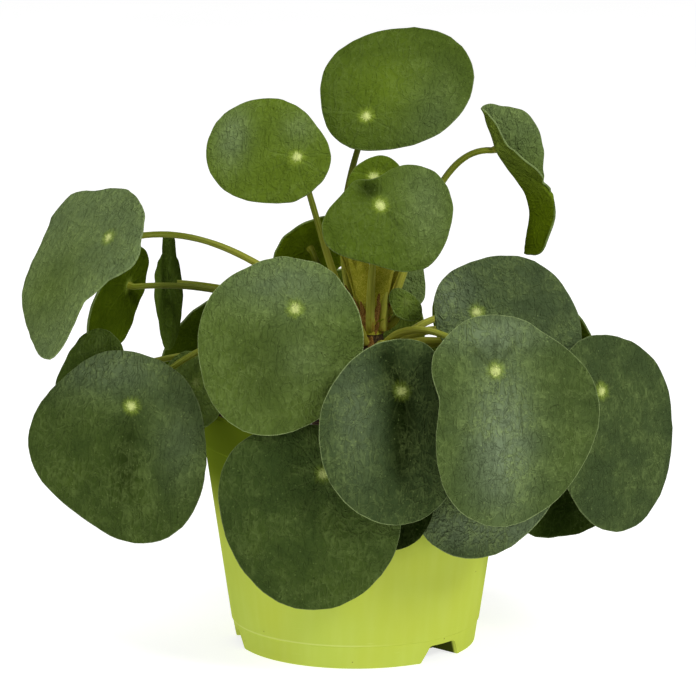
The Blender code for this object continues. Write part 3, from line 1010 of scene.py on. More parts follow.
@dataclass
class SoilBed:
    """Potting mix in the pot, with crumbs and perlite lying on it."""

    pot: Pot
    stem: Stem
    level: float = 84.0
    crown: float = 2.5  # how much higher it lies in the middle
    lump: float = 0.8
    rings: int = 44
    sides: int = 150
    crumbs: int = 420
    perlite: int = 90
    stem_clear: float = 7.0
    wall_clear: float = 3.0
    grain_shape: tuple[Pair, ...] = ((0.7, 1.5), (0.6, 1.0), (0.5, 0.9))
    seed: int = 11
    grain_dents: float = 0.09  # share of its size by which a grain's corners are knocked about

    def top(self, x: float, y: float) -> float:
        """The uneven surface, highest in the middle.

        Args:
            x, y: a place on it.

        Returns:
            Its height there.
        """
        out = math.hypot(x, y) / self.pot.rim_radius
        rise = self.crown * max(0.0, 1.0 - out * out)
        lumps = math.sin(x / 6) * math.cos(y / 5) + math.sin((x + y) / 9)
        fine = 0.7 * uneven((x, y, 0), 3.1) + 0.45 * uneven((x, y, 4), 1.3)
        return self.level + rise + (self.lump * lumps + fine) * (1.0 - out)

    def bed(self) -> bmesh.types.BMesh:
        """Fills the inside of the pot up to the uneven top.

        Returns:
            The bed without its grains.
        """
        inner_top = self.pot.wall_radius(self.level) - self.pot.wall - GAP
        floor = self.pot.foot_height + self.pot.floor_thick + GAP
        inner_foot = self.pot.wall_radius(floor) - self.pot.wall - GAP
        rings = [(inner_top * (1 - index / self.rings), self.level) for index in range(self.rings + 1)]
        bm = turned([(0.0, floor), (inner_foot, floor)] + rings, self.sides)
        for vert in bm.verts:
            if vert.co.z > self.level - 1:
                vert.co.z = self.top(vert.co.x, vert.co.y)
        return bm

    def strewn(self, count: int, sizes: Pair, sink: float, dice: random.Random) -> bmesh.types.BMesh:
        """Small broken grains lying on the bed.

        Args:
            count: how many.
            sizes: smallest and largest across.
            sink: share of its size by which a grain's middle lies above the bed.
            dice: seeded random numbers.

        Returns:
            The grains in one mesh.
        """
        bm = bmesh.new()
        reach = self.pot.wall_radius(self.level) - self.pot.wall - self.wall_clear
        for _ in range(count):
            angle, out = dice.uniform(0, math.tau), reach * math.sqrt(dice.random())
            x, y = out * math.cos(angle), out * math.sin(angle)
            size = sizes[0] + (sizes[1] - sizes[0]) * dice.random() ** 2
            turn = Matrix.Rotation(dice.uniform(0, math.tau), 4, Vector((dice.random(), dice.random(), 1)))
            stretch = [dice.uniform(*limits) for limits in self.grain_shape]
            if math.hypot(x - self.stem.x, y) < self.stem_clear:
                continue
            place = Matrix.Translation((x, y, self.top(x, y) + sink * size))
            grain = bmesh.ops.create_icosphere(bm, subdivisions=1, radius=size / 2,
                                               matrix=place @ turn @ Matrix.Diagonal((*stretch, 1)))
            for vert in grain["verts"]:
                vert.co += Vector((dice.uniform(-1, 1) for _ in range(3))) * size * self.grain_dents
        return bm

    def build(self) -> None:
        """Makes the bed and what lies on it."""
        dice = random.Random(self.seed)
        add_piece("soil_bed", self.bed(), [PEAT.make()], replaces="soil")
        # Name, count, least and greatest size, sink and finish of each kind of grain
        for name, count, sizes, sink, finish in (
            ("soil_crumbs", self.crumbs, (0.8, 3.4), 0.18, CRUMB),
            ("perlite_grains", self.perlite, (0.9, 2.6), 0.2, PERLITE),
        ):
            grains = self.strewn(count, sizes, sink, dice)
            add_piece(name, grains, [finish.make()], sharp_above=30)


# Leaves


class Tone(Enum):
    """What a patch changes on a blade: how young it looks, how much grey film and painted sheen it has, or
    how much painted shade it has.
    """

    YOUTH = 0
    BLOOM = 1
    HOLLOW = 2


@dataclass(frozen=True)
class Patch:
    """A soft oval place on a blade.

    tone: what it changes.
    at: its middle, to the right of and above the hub.
    size: its half width and half height.
    amount: change in the middle.
    """

    tone: Tone
    at: Pair
    size: Pair
    amount: float

    def change(self, x: float, y: float) -> float:
        """Change at a place on the blade."""
        across, up = (x - self.at[0]) / self.size[0], (y - self.at[1]) / self.size[1]
        return self.amount * math.exp(-across * across - up * up)


@dataclass(frozen=True)
class Crease:
    """A groove or, with a negative depth, a ridge that runs out of the hub.

    toward: its direction in the blade, degrees from the blade's right.
    start, end: distances from the hub between which it runs.
    half: its half width.
    depth: how deep it is.
    dark: how much painted shade darkens it.
    """

    toward: float
    start: float
    end: float
    half: float
    depth: float
    dark: float = 0.0

    def share(self, x: float, y: float) -> float:
        """How much a place belongs to the crease.

        Args:
            x, y: place on the blade.

        Returns:
            1 in the middle of the crease, and 0 away from it.
        """
        turn = math.radians(self.toward)
        along = x * math.cos(turn) + y * math.sin(turn)
        aside = y * math.cos(turn) - x * math.sin(turn)
        fade = 0.25 * (self.end - self.start)
        starts = smooth(along, self.start - fade, self.start + fade)
        ends = smooth(along, self.end + fade, self.end - fade)
        return starts * ends * math.exp(-((aside / self.half) ** 2))


@dataclass(frozen=True)
class Bend:
    """A stretch across which a blade turns steadily, like paper bent over a rod.

    toward: direction in the blade in which the bend runs, degrees from the blade's right.
    start, end: distance from the hub in that direction.
    turn: degrees in all, backwards if positive and over the upper face if negative.
    bow: how far the bent line bows back, at bow_at along it, fading out over bow_half.
    """

    toward: float
    start: float
    end: float
    turn: float
    bow: float = 0.0
    bow_at: float = 0.0
    bow_half: float = 1.0

    def bent(self, point: Vector) -> Vector:
        """Takes a point through the bend.

        Args:
            point: x right, y up and z forward of the blade.

        Returns:
            The point after the bend.
        """
        toward = compass(self.toward)
        along = Vector((-toward.y, toward.x, 0.0))
        aside = point.dot(along)
        fade = max(-1.0, min(1.0, (aside - self.bow_at) / self.bow_half))
        line = -self.bow * math.cos(fade * math.pi / 2) ** 2
        out = point.dot(toward) - line - self.start
        if out <= 0.0:
            return point
        length = self.end - self.start
        angle = math.radians(self.turn) * min(1.0, out / length)
        radius = length / math.radians(self.turn)
        beyond = max(0.0, out - length)
        forth = line + self.start + radius * math.sin(angle) + beyond * math.cos(angle)
        back = radius * (1.0 - math.cos(angle)) + beyond * math.sin(angle)
        lifted = Vector((0.0, 0.0, math.cos(angle))) + toward * math.sin(angle)
        return along * aside + toward * forth - Vector((0.0, 0.0, back)) + lifted * point.z


@lru_cache(maxsize=None)
def edge_reach(reach: tuple[float, ...], angle: float) -> float:
    """Follows a smooth curve through a blade's reaches.

    Args:
        reach: centre to edge, evenly spaced anticlockwise from the blade's right.
        angle: direction from the blade's right, radians.

    Returns:
        Centre to edge in that direction.
    """
    count = len(reach)
    total = 0.0
    for index, value in enumerate(reach):
        away = angle - math.tau * index / count
        waves = sum(2.0 * math.cos(order * away) for order in range(1, count // 2))
        total += value * (1.0 + waves + math.cos(count / 2 * away)) / count
    return total


BLADE_THICK = 0.9
HUB_RADIUS = 1.5  # stalk's radius where it meets the blade
HUB_SHARE = 0.1  # the hub's radius on the flat disc that a blade is shaped from
HUB_POINTS = 16
# Rings are placed by a share that is 0 at the hub's edge and 1 at the blade's
INNER_RINGS = ((32, 0.05), (96, 0.10))  # points and share of each ring near the hub
OUTER_RINGS = (0.15, 0.205, 0.26, 0.32, 0.38, 0.44, 0.5, 0.56, 0.62, 0.68, 0.74, 0.795, 0.85, 0.895,
               0.93, 0.955, 0.973, 0.987, 1.0)
DOME_OUT = 30.0  # distance from the hub at which a leaf's dome is stated
DIMPLE = 0.4
DIMPLE_OUT = 3.4
SWELL = 0.5  # slow unevenness of a blade
BUCKLE = 0.3  # finer unevenness
EDGE_BUCKLE = 0.45  # unevenness near the edge
EDGE_ROLL = 0.45  # how far the blade's edge rolls back
EDGE_ROLL_WIDE = 3.0
RUFFLE = 0.6  # height of the edge's waves
FRAY = 0.35  # small unevenness of a blade's outline
FRAY_SIZE = 4.5
RIM_ROUND = 0.3
RIM_ANGLE = 0.9  # least angle between the faces at a rim's edge, radians
ON_EDGE = 1e-4
STALK_MIDDLE = 1.15
STALK_BASE = 1.75
STALK_STEPS = 30
STALK_WOBBLE = 0.05  # share by which its radius is uneven
STALK_WOBBLE_LONG = 7.0
STALK_CLEAR = 1.5  # straight start of the stalk, out of the stem
STALK_NECK = 2.2  # straight end of the stalk, behind the blade
STALK_SWELLS = 0.4  # share of the way to the stem after which the stalk thickens
DIM_FULL = 0.15  # share of the way to the stem at which the painted shade on a dim stalk is as dark as it gets
FOOT_FROM = 0.25  # share of the way to the stem after which the stalk turns paler, partly with painted light
FOOT_FULL = 0.75
RUST = 0.5  # how rusty a stalk's foot is
RUST_FROM = 0.72  # share of the way to the stem after which the stalk may be rusty


@dataclass(frozen=True)
class Leaf:
    """One leaf: where its hub is, how its blade lies, the route of its stalk and how it looks.

    name: the CAD node that it replaces.
    hub: where the stalk meets the blade.
    facing: compass direction of the upper face, degrees; -90 is the front.
    tilt: degrees from a level blade to this one; 90 is upright.
    reach: centre to edge, evenly spaced anticlockwise from the blade's right.
    base: direction on the stem in degrees, and height, where the stalk grows out.
    leave: how the stalk sets out from the stem.
    arrive: from the hub back to the stalk's last bend.
    dome: how far the blade lies behind the hub at DOME_OUT from it.
    bends: curved stretches of the blade.
    centre: where the reaches start, to the right of and above the hub.
    creases: grooves and ridges.
    youth, bloom_and_sheen: how young the whole blade looks, and how much grey film and painted sheen it
    has.
    edge_highlight: how strongly the painted highlight along the edge shows.
    mark: how clearly the pale mark on the hub shows.
    dim: how much painted shade darkens its stalk.
    patches: places that look different, painted sheen and painted shade among them.
    fine: 2 for a folded blade, which has finer rings.
    """

    name: str
    hub: Triple
    facing: float
    tilt: float
    reach: tuple[float, ...]
    base: Pair
    leave: Triple
    arrive: Triple
    dome: float = 2.0
    bends: tuple[Bend, ...] = ()
    centre: Pair = (0.0, 0.0)
    creases: tuple[Crease, ...] = ()
    youth: float = 0.45
    bloom_and_sheen: float = 0.2
    edge_highlight: float = 0.2
    mark: float = 1.0
    dim: float = 0.2
    patches: tuple[Patch, ...] = ()
    fine: int = 1

    @property
    def seed(self) -> float:
        """A number of the leaf's own, the same in each run."""
        return sum(ord(letter) * (place + 1) for place, letter in enumerate(self.name)) % 97 / 97

    def axes(self) -> Matrix:
        """How the blade stands.

        Returns:
            Matrix with the blade's right, up and forward as columns.
        """
        facing, tilt = math.radians(self.facing), math.radians(self.tilt)
        level = compass(self.facing) * math.sin(tilt)
        forward = Vector((level.x, level.y, math.cos(tilt)))
        right = Vector((-math.sin(facing), math.cos(facing), 0.0))
        return Matrix((right, forward.cross(right), forward)).transposed()

    def wave(self, angle: float, share: float) -> float:
        """Waves of the edge."""
        return RUFFLE * share ** 3 * math.sin(3 * angle + self.facing)

    def bent(self, point: Vector) -> Vector:
        """Takes a point through all the blade's bends.

        Args:
            point: x right, y up and z forward of the flat-laid blade.

        Returns:
            The point after the bends.
        """
        for bend in self.bends:
            point = bend.bent(point)
        return point

    def height(self, x: float, y: float, edge: float) -> float:
        """Relief of the flat-laid blade, apart from its waves.

        Args:
            x, y: place on the blade.
            edge: distance to the blade's edge.

        Returns:
            Height towards the upper face.
        """
        out = math.hypot(x, y)
        total = -self.dome * (out / DOME_OUT) ** 2
        total -= DIMPLE * math.exp(-((out / DIMPLE_OUT) ** 2))
        total += SWELL * smooth(out, 3, 14) * uneven((x, y, 0), 15.0, self.seed * 9)
        total += BUCKLE * smooth(out, 3, 10) * uneven((x, y, 5), 6.0, self.seed * 9)
        total += EDGE_BUCKLE * smooth(edge, 6, 0) * uneven((x, y, 9), 5.0, self.seed * 9)
        total -= EDGE_ROLL * max(0.0, 1 - edge / EDGE_ROLL_WIDE) ** 2
        return total - sum(crease.depth * crease.share(x, y) for crease in self.creases)

    def tone(self, x: float, y: float) -> Vector:
        """How the blade looks at a place.

        Args:
            x, y: place on the blade.

        Returns:
            How young it is there, how much grey film and painted sheen it has, and how much painted shade.
        """
        found = Vector((self.youth, self.bloom_and_sheen, 0.0))
        for patch in self.patches:
            found[patch.tone.value] += patch.change(x, y)
        found.z += sum(crease.dark * crease.share(x, y) for crease in self.creases)
        return found

    def disc(self) -> bmesh.types.BMesh:
        """Makes a flat disc of rings, from the hub's polygon out to a radius of 1.

        Returns:
            The disc that the blade is shaped from.
        """
        inner = [(count * (self.fine if count > 32 else 1), share) for count, share in INNER_RINGS]
        outer = list(OUTER_RINGS)
        if self.fine > 1:
            before = [INNER_RINGS[-1][1]] + outer[:-1]
            outer = sorted(outer + [(low + high) / 2 for low, high in zip(before, outer)])
        rim_count = inner[-1][0]
        bm = bmesh.new()
        bmesh.ops.create_circle(bm, cap_ends=True, segments=HUB_POINTS, radius=HUB_SHARE)
        for count, share in inner + [(rim_count, share) for share in outer]:
            rim = [edge for edge in bm.edges if edge.is_boundary]
            drawn = bmesh.ops.extrude_edge_only(bm, edges=rim)["geom"]
            rim = [part for part in drawn if isinstance(part, bmesh.types.BMEdge) and part.is_boundary]
            if count > len(rim):
                bmesh.ops.subdivide_edges(bm, edges=rim, cuts=count // len(rim) - 1)
                rim = [edge for edge in bm.edges if edge.is_boundary]
            for vert in {vert for edge in rim for vert in edge.verts}:
                vert.co = vert.co.normalized() * (HUB_SHARE + (1.0 - HUB_SHARE) * share)
        return bm

    def lay(self, bm: bmesh.types.BMesh) -> None:
        """Shapes the flat disc into the blade's upper face and stores its attributes.

        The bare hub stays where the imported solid's hub is, whatever the bends do.

        Args:
            bm: the disc, which becomes the upper face.
        """
        layers = bm.verts.layers
        lay, tone, run, signs = (layers.float_vector.new(name) for name in ("lay", "tone", "run", "signs"))
        seed = layers.float.new("seed")
        axes, hub = self.axes(), Vector(self.hub)
        middle = self.bent(Vector((0.0, 0.0, self.wave(0.0, 1.0))))
        for vert in bm.verts:
            angle = round(math.atan2(vert.co.y, vert.co.x), 5)  # alike on all rings, for the cache
            share = (vert.co.length - HUB_SHARE) / (1.0 - HUB_SHARE)
            toward = Vector((math.cos(angle), math.sin(angle)))
            reach = edge_reach(self.reach, angle)
            reach += FRAY * uneven((*(toward * reach), 0), FRAY_SIZE, self.seed * 9)
            rim = Vector(self.centre) + toward * reach
            x, y = (toward * HUB_RADIUS).lerp(rim, share)
            edge = (rim - toward * HUB_RADIUS).length * (1 - share)
            point = self.bent(Vector((x, y, self.height(x, y, edge) + self.wave(angle, share))))
            vert.co = hub + axes @ (point - middle)
            vert[lay] = (x, y, edge)
            vert[tone] = self.tone(x, y)
            vert[run] = (math.cos(angle), math.sin(angle), 0.0)
            vert[signs] = (self.edge_highlight, self.mark, 0.0)
            vert[seed] = self.seed

    def route(self, hub: Vector, back: Vector, stem: Stem) -> list[Vector]:
        """Middle line of the stalk.

        Args:
            hub: middle of the hub's back face.
            back: direction out of that face.
            stem: the stem that the stalk grows from.

        Returns:
            Points from behind the hub down to the stem.
        """
        outward = compass(self.base[0])
        root = Vector((stem.x, 0.0, self.base[1])) + outward * (stem.radius_at(self.base[1]) + GAP)
        start = root + outward * STALK_CLEAR
        end = hub + back * STALK_NECK
        first, last = start + Vector(self.leave), end + Vector(self.arrive)
        points = []
        for step in range(STALK_STEPS + 1):
            t = 1.0 - step / STALK_STEPS
            points.append(start * (1 - t) ** 3 + first * 3 * t * (1 - t) ** 2
                          + last * 3 * t * t * (1 - t) + end * t ** 3)
        return points + [root]

    def grow_stalk(self, bm: bmesh.types.BMesh, face: bmesh.types.BMFace, stem: Stem) -> None:
        """Draws the hub's back face out along the stalk's route to the stem.

        Args:
            bm: the leaf's mesh.
            face: the hub's back face.
            stem: the stem that the stalk grows from.
        """
        run, tone = (bm.verts.layers.float_vector[name] for name in ("run", "tone"))
        place, direction = face.calc_center_median(), face.normal.copy()
        radius, length = HUB_RADIUS, 0.0
        points = self.route(place, direction, stem)
        for step, point in enumerate(points):
            before = points[step - 1] if step else place
            after = points[step + 1] if step + 1 < len(points) else None
            onward = (after - before).normalized() if after else -compass(self.base[0])
            share = step / (len(points) - 1)
            swell = max(0.0, share - STALK_SWELLS) / (1.0 - STALK_SWELLS)
            wanted = STALK_MIDDLE + (STALK_BASE - STALK_MIDDLE) * swell
            wanted *= 1 + STALK_WOBBLE * uneven((0, 0, length), STALK_WOBBLE_LONG, self.seed * 5)
            length += (point - place).length
            face = bmesh.ops.extrude_discrete_faces(bm, faces=[face])["faces"][0]
            turn = direction.rotation_difference(onward).to_matrix()
            rust = RUST * smooth(share, RUST_FROM, 1.0)
            low = smooth(share, FOOT_FROM, FOOT_FULL)
            dim = self.dim * smooth(share, 0.0, DIM_FULL) * (1.0 - low)
            for vert in face.verts:
                vert.co = point + turn @ (vert.co - place) * (wanted / radius)
                vert[run] = (vert[run][0], vert[run][1], length)
                vert[tone] = (low, rust, dim)
            place, direction, radius = point, onward, wanted
        for face in bm.faces:
            if any(vert[run][2] > 0 for vert in face.verts):
                face.material_index = 2

    def build(self, stem: Stem, finishes: list[bpy.types.Material]) -> None:
        """Makes the leaf.

        Args:
            stem: the stem that it grows from.
            finishes: materials of its upper face, its underside and its stalk.
        """
        bm = self.disc()
        self.lay(bm)
        bmesh.ops.recalc_face_normals(bm, faces=bm.faces[:])
        hub = next(face for face in bm.faces if len(face.verts) == HUB_POINTS)
        if hub.normal.dot(self.axes().col[2]) < 0:
            bmesh.ops.reverse_faces(bm, faces=bm.faces[:])
        under = thicken(bm, BLADE_THICK)
        for face in under:
            face.material_index = 1
        bm.normal_update()
        lay = bm.verts.layers.float_vector["lay"]
        rim = [edge for edge in bm.edges if all(vert[lay][2] < ON_EDGE for vert in edge.verts)]
        rim = [edge for edge in rim if edge.calc_face_angle(0.0) > RIM_ANGLE]
        back = next(face for face in under if len(face.verts) == HUB_POINTS)
        self.grow_stalk(bm, back, stem)
        bmesh.ops.bevel(bm, geom=rim, offset=RIM_ROUND, segments=2, profile=0.5, affect="EDGES",
                        material=-1)
        add_piece(f"{self.name}_grown", bm, finishes, replaces=self.name)


YOUTH, BLOOM, HOLLOW = Tone

# Among the patches, painted sheen lies where the lamps would glance off a blade and painted shade where
# other leaves shade it; leaf_low_inner and leaf_low_right_back are painted dark almost all over, as shade.
# Name, hub, facing, tilt and reach of each leaf, then its stalk and what sets it apart
LEAVES = (
    Leaf("leaf_top", (4, 5, 202), -100, 55, (33.5, 44.5, 45.5, 38, 31, 22, 17, 15, 14.5, 14.5, 16, 22),
         base=(140, 122), leave=(-12, 3, 34), arrive=(-7, 4, -22), youth=0.44, bloom_and_sheen=0.12, dim=0.5,
         patches=(Patch(BLOOM, (26, 0), (14, 26), 0.22), Patch(YOUTH, (6, 12), (14, 14), 0.25))),
    Leaf("leaf_upper_left", (-22, -10, 188), -102, 62,
         (13, 13, 14, 19.5, 28, 35, 35.5, 29, 21, 17.5, 15, 13.5),
         base=(190, 122), leave=(-12, -2, 26), arrive=(8, 6, -24), youth=0.69, bloom_and_sheen=0.14,
         patches=(Patch(BLOOM, (-26, 8), (8, 14), 0.5), Patch(BLOOM, (0, 12), (8, 8), 0.3))),
    Leaf("leaf_upper_centre", (9, -35, 174), -78, 62,
         (28, 26, 17.5, 11, 12.5, 14, 19, 25.5, 23.5, 24, 28.5, 28),
         base=(-95, 122), leave=(0, -8, 26), arrive=(-1, 14, -18), youth=0.52, bloom_and_sheen=0.13,
         creases=(Crease(-53, 2, 16, 1.0, 0.5, 0.35), Crease(118, 4, 12, 4.0, 1.4, 0.25)),
         patches=(Patch(BLOOM, (18, 0), (12, 24), 0.32), Patch(HOLLOW, (-3, 7), (4.2, 4.2), 0.4),
                  Patch(HOLLOW, (-14, 0), (14, 16), 0.22))),
    Leaf("leaf_small_top", (7, -12, 181), -95, 60, (11, 10, 9, 8, 9.5, 11, 11, 11),
         base=(-45, 122), leave=(2, -3, 24), arrive=(0, 5, -18), dome=6, youth=0.6, bloom_and_sheen=0.0),
    Leaf("leaf_folded_right", (55, 15, 188), -80, 85,
         (12.5, 13, 14.5, 18, 22, 26.5, 28.5, 31, 28.5, 18.5, 16.5, 15,
          14, 12, 10.2, 9.3, 10.8, 15.5, 28, 28, 27.5, 20, 15, 12.5),
         base=(38, 122), leave=(14, 4, 36), arrive=(-20, 2, 1), centre=(5.5, -13), fine=2, youth=0.56,
         bloom_and_sheen=0.5, dim=0.4,
         patches=(Patch(BLOOM, (11, -38), (16, 26), -0.6), Patch(HOLLOW, (11, -40), (16, 26), 0.3)),
         bends=(Bend(200, -1.9, 3.1, -130, bow=5.6, bow_at=23, bow_half=23),)),
    Leaf("leaf_far_left", (-90.7, -38, 162.3), -140, 52,
         (23.5, 30.5, 32, 34, 35, 35.5, 36, 36, 38.5, 43, 38.5, 31.5,
          28.5, 28, 28, 28, 28.5, 30, 33.5, 36.5, 31, 21.5, 19, 20),
         base=(178, 117), leave=(-34, -6, 33), arrive=(28, 14, 7), dome=1.5, centre=(-10, -15),
         youth=0.6, bloom_and_sheen=0.6, dim=0.5,
         patches=(Patch(BLOOM, (-18, -24), (20, 20), -0.25), Patch(YOUTH, (-18, -24), (20, 20), -0.1))),
    Leaf("leaf_left_underside", (-87, 10, 136), 155, 80,
         (32, 18.5, 16, 16, 15.5, 14.5, 14, 14.5, 14.5, 22, 27, 36),
         base=(170, 108), leave=(-26, 4, 24), arrive=(28, 2, 2), youth=0.36, bloom_and_sheen=0.0, dim=0.8),
    Leaf("leaf_left_folded", (-72, 18, 135), -90, 88, (22, 15, 19, 15, 22, 24, 26, 24),
         base=(152, 113), leave=(-24, 14, 20), arrive=(6, 22, -4), dome=0, fine=2, youth=0.36, bloom_and_sheen=0.06,
         mark=0.0, bends=(Bend(0, 0.2, 2.5, 80), Bend(180, 0.2, 2.5, 78))),
    Leaf("leaf_left_low_back", (-97.5, -32, 108), -115, 66, (15, 15, 19.5, 17, 15, 19, 21, 19),
         base=(205, 104), leave=(-30, -10, 18), arrive=(18, 20, 6), youth=0.34, bloom_and_sheen=0.15),
    Leaf("leaf_left_front", (-83, -47, 101), -105, 74,
         (26.5, 22.5, 20, 20, 23, 27, 36.5, 45, 45, 50, 47, 34),
         base=(215, 109), leave=(-34, -14, 26), arrive=(14, 14, 18), youth=0.29, bloom_and_sheen=0.2,
         creases=(Crease(-92, 4, 34, 5.0, 0.9, 0.3),),
         patches=(Patch(BLOOM, (-10, 15), (28, 13), 0.4), Patch(BLOOM, (20, -12), (12, 18), 0.25),
                  Patch(HOLLOW, (-2, -14), (9, 12), 0.06), Patch(HOLLOW, (4, -32), (46, 34), 0.3))),
    Leaf("leaf_left_inner", (-60, -29, 106), -125, 74, (12, 12, 12, 14, 16, 16, 17, 16),
         base=(230, 100), leave=(-24, -8, 14), arrive=(10, 12, 6), youth=1.1, bloom_and_sheen=0.4, mark=0.3),
    Leaf("leaf_centre_left", (-22, -66, 141), -96, 76,
         (23, 19.5, 18.5, 18.5, 21, 25.5, 33.5, 40.5, 48, 44.5, 36.5, 29),
         base=(-115, 117), leave=(-6, -24, 26), arrive=(2, 20, 0), youth=0.5, bloom_and_sheen=0.28, edge_highlight=0.6,
         patches=(Patch(BLOOM, (-4, 10), (24, 12), 0.35), Patch(BLOOM, (4, -18), (10, 9), 0.15),
                  Patch(HOLLOW, (-14, -16), (15, 16), 0.3), Patch(HOLLOW, (0, -32), (34, 16), 0.2))),
    Leaf("leaf_low_front", (-12, -72, 81), -95, 82,
         (24, 21, 18.5, 17.5, 20.5, 29, 37.5, 42.5, 49, 50.5, 43, 33),
         base=(-95, 104), leave=(-2, -28, 18), arrive=(2, 10, 25), youth=0.2, bloom_and_sheen=0.18, edge_highlight=0.3,
         mark=0.5, creases=(Crease(-118, 2, 18, 1.2, 0.7, 0.3),),
         patches=(Patch(HOLLOW, (-14, 16), (22, 10), 0.2), Patch(YOUTH, (0, -36), (30, 18), 0.06))),
    Leaf("leaf_centre_low", (17, -79, 113), -74, 80,
         (18, 18.5, 19.5, 19, 20, 22.5, 28, 36, 45, 48.5, 39, 22.5),
         base=(-80, 109), leave=(2, -28, 22), arrive=(-2, 20, 8), youth=0.12, bloom_and_sheen=0.25, edge_highlight=0.5,
         mark=0.5, creases=(Crease(110, 0, 18, 4.5, 1.8, 0.4), Crease(-92, 0, 32, 4.5, 1.8, 0.4)),
         patches=(Patch(BLOOM, (-18, -8), (9, 22), 0.3), Patch(HOLLOW, (-1, -10), (9, 30), 0.55),
                  Patch(HOLLOW, (14, 0), (9, 30), 0.3))),
    Leaf("leaf_low_inner", (14, -66, 92), -88, 84, (11, 11, 8, 12, 14, 24, 41, 21),
         base=(-70, 99), leave=(3, -26, 14), arrive=(-1, 10, 14), youth=0.0, bloom_and_sheen=0.0,
         patches=(Patch(HOLLOW, (0, -15), (50, 60), 1.0),)),
    Leaf("leaf_right_front", (50, -90, 123), -80, 80,
         (33.5, 23.5, 21, 20, 21, 22, 23, 24, 42, 56.5, 51.5, 44),
         base=(-60, 113), leave=(8, -30, 22), arrive=(-10, 26, 8), youth=0.33, bloom_and_sheen=0.3, edge_highlight=0.45,
         creases=(Crease(50, 2, 14, 1.3, 0.6, 0.4), Crease(90, 2, 12, 1.3, 0.5, 0.35),
                  Crease(135, 2, 13, 1.3, 0.6, 0.4), Crease(-95, 3, 26, 2.4, 0.5, 0.15)),
         patches=(Patch(BLOOM, (2, -24), (11, 26), 0.65), Patch(BLOOM, (0, 14), (20, 7), 0.45),
                  Patch(HOLLOW, (28, -12), (12, 26), 0.25))),
    Leaf("leaf_right_back", (45, -30, 133), -82, 55,
         (39, 34.5, 27.5, 21.5, 19, 17, 16, 17, 18, 20.5, 30, 40.5),
         base=(-15, 113), leave=(18, -6, 10), arrive=(-6, 6, -18), youth=0.18, bloom_and_sheen=0.4,
         patches=(Patch(BLOOM, (-12, 8), (10, 12), 0.45), Patch(HOLLOW, (24, 8), (16, 24), 0.25))),
    Leaf("leaf_far_right", (92.1, -30, 103), -50, 78,
         (35.5, 27.5, 22.5, 21, 21, 20, 21, 27.5, 40, 53, 53, 44),
         base=(-30, 108), leave=(34, -8, 22), arrive=(-20, 16, 14), youth=0.2, bloom_and_sheen=0.3,
         creases=(Crease(95, 1, 10, 1.2, -0.6),)),
    Leaf("leaf_low_right", (47, -62, 81), -90, 82, (31, 31, 24, 24, 26, 33, 33.5, 28.5),
         base=(-50, 104), leave=(14, -20, 16), arrive=(-8, 12, 22), youth=0.2, bloom_and_sheen=0.3, edge_highlight=0.4,
         patches=(Patch(BLOOM, (0, -22), (28, 8), 0.45),)),
    Leaf("leaf_low_right_back", (80, -16, 84), -40, 84, (30, 24, 20, 22, 26, 41, 40, 45),
         base=(-10, 104), leave=(24, -4, 14), arrive=(-14, 10, 22), youth=0.2, bloom_and_sheen=0.0,
         patches=(Patch(HOLLOW, (0, -10), (60, 60), 0.85),)),
    Leaf("leaf_right_rear", (66, 18, 122), 65, 60, (26, 22, 18, 20, 26, 32, 36, 32),
         base=(22, 113), leave=(20, 6, 14), arrive=(-12, -6, -8)),
    # Its youth above 1 is painted light, standing in for light coming through the leaf onto its underside.
    Leaf("leaf_back_left", (-18, 16, 150), 120, 60, (15, 14.5, 16, 18, 20, 18, 20, 18),
         base=(110, 117), leave=(-6, 6, 14), arrive=(4, -2, -12), youth=1.3, bloom_and_sheen=0.1, mark=0.2,
         dim=0.95),
    Leaf("leaf_back_centre", (16, 24, 138), -88, 62, (10.5, 12, 10, 10, 12, 14, 16, 14.5),
         base=(86, 122), leave=(2, 8, 8), arrive=(0, 6, -8), youth=1.4, bloom_and_sheen=0.55, mark=0.3),
    Leaf("leaf_small_crown", (19, -8, 133), -80, 60, (5, 4.5, 5, 7, 6, 6.5, 7.5, 8),
         base=(-6, 122), leave=(5, -1, 3), arrive=(-3, 2, -4), youth=1.1, bloom_and_sheen=0.3, mark=0.1),
    Leaf("leaf_rear_left", (-56, 70, 104), 135, 70, (30, 24, 18, 16, 26, 34, 40, 34),
         base=(130, 104), leave=(-18, 22, 16), arrive=(12, -14, 6), youth=0.2, bloom_and_sheen=0.0,
         patches=(Patch(HOLLOW, (0, 0), (50, 50), 0.3),)),
    Leaf("leaf_rear_centre", (-4, 86, 114), 95, 72, (30, 22, 18, 22, 30, 40, 44, 38),
         base=(95, 112), leave=(-2, 28, 20), arrive=(2, -18, 6), youth=0.4, bloom_and_sheen=0.3, edge_highlight=0.6,
         patches=(Patch(BLOOM, (-14, -10), (12, 22), 0.35),)),
    Leaf("leaf_rear_right", (54, 72, 112), 50, 70, (28, 22, 20, 22, 30, 38, 42, 34),
         base=(55, 108), leave=(18, 22, 16), arrive=(-12, -14, 6), youth=0.45, bloom_and_sheen=0.2),
    Leaf("leaf_rear_low_left", (-26, 74, 84), 112, 80, (24, 20, 16, 20, 26, 32, 36, 30),
         base=(112, 99), leave=(-10, 22, 14), arrive=(4, -10, 20), youth=0.2, bloom_and_sheen=0.35),
    Leaf("leaf_rear_low_right", (34, 72, 86), 65, 80, (26, 20, 16, 18, 24, 30, 36, 32),
         base=(65, 99), leave=(10, 22, 14), arrive=(-4, -10, 20), youth=0.25, bloom_and_sheen=0.3),
)


@dataclass
class Foliage:
    """All the leaves."""

    leaves: tuple[Leaf, ...]
    stem: Stem

    def build(self) -> None:
        """Makes each leaf with the same three finishes."""
        finishes = [UPPER.make(), UNDER.make(), STALK.make()]
        for leaf in self.leaves:
            leaf.build(self.stem, finishes)


# Studio


@dataclass(frozen=True)
class Softbox:
    """A square soft light: its place in metres, side in metres and power in watts."""

    name: str
    place: Triple
    side: float
    power: float


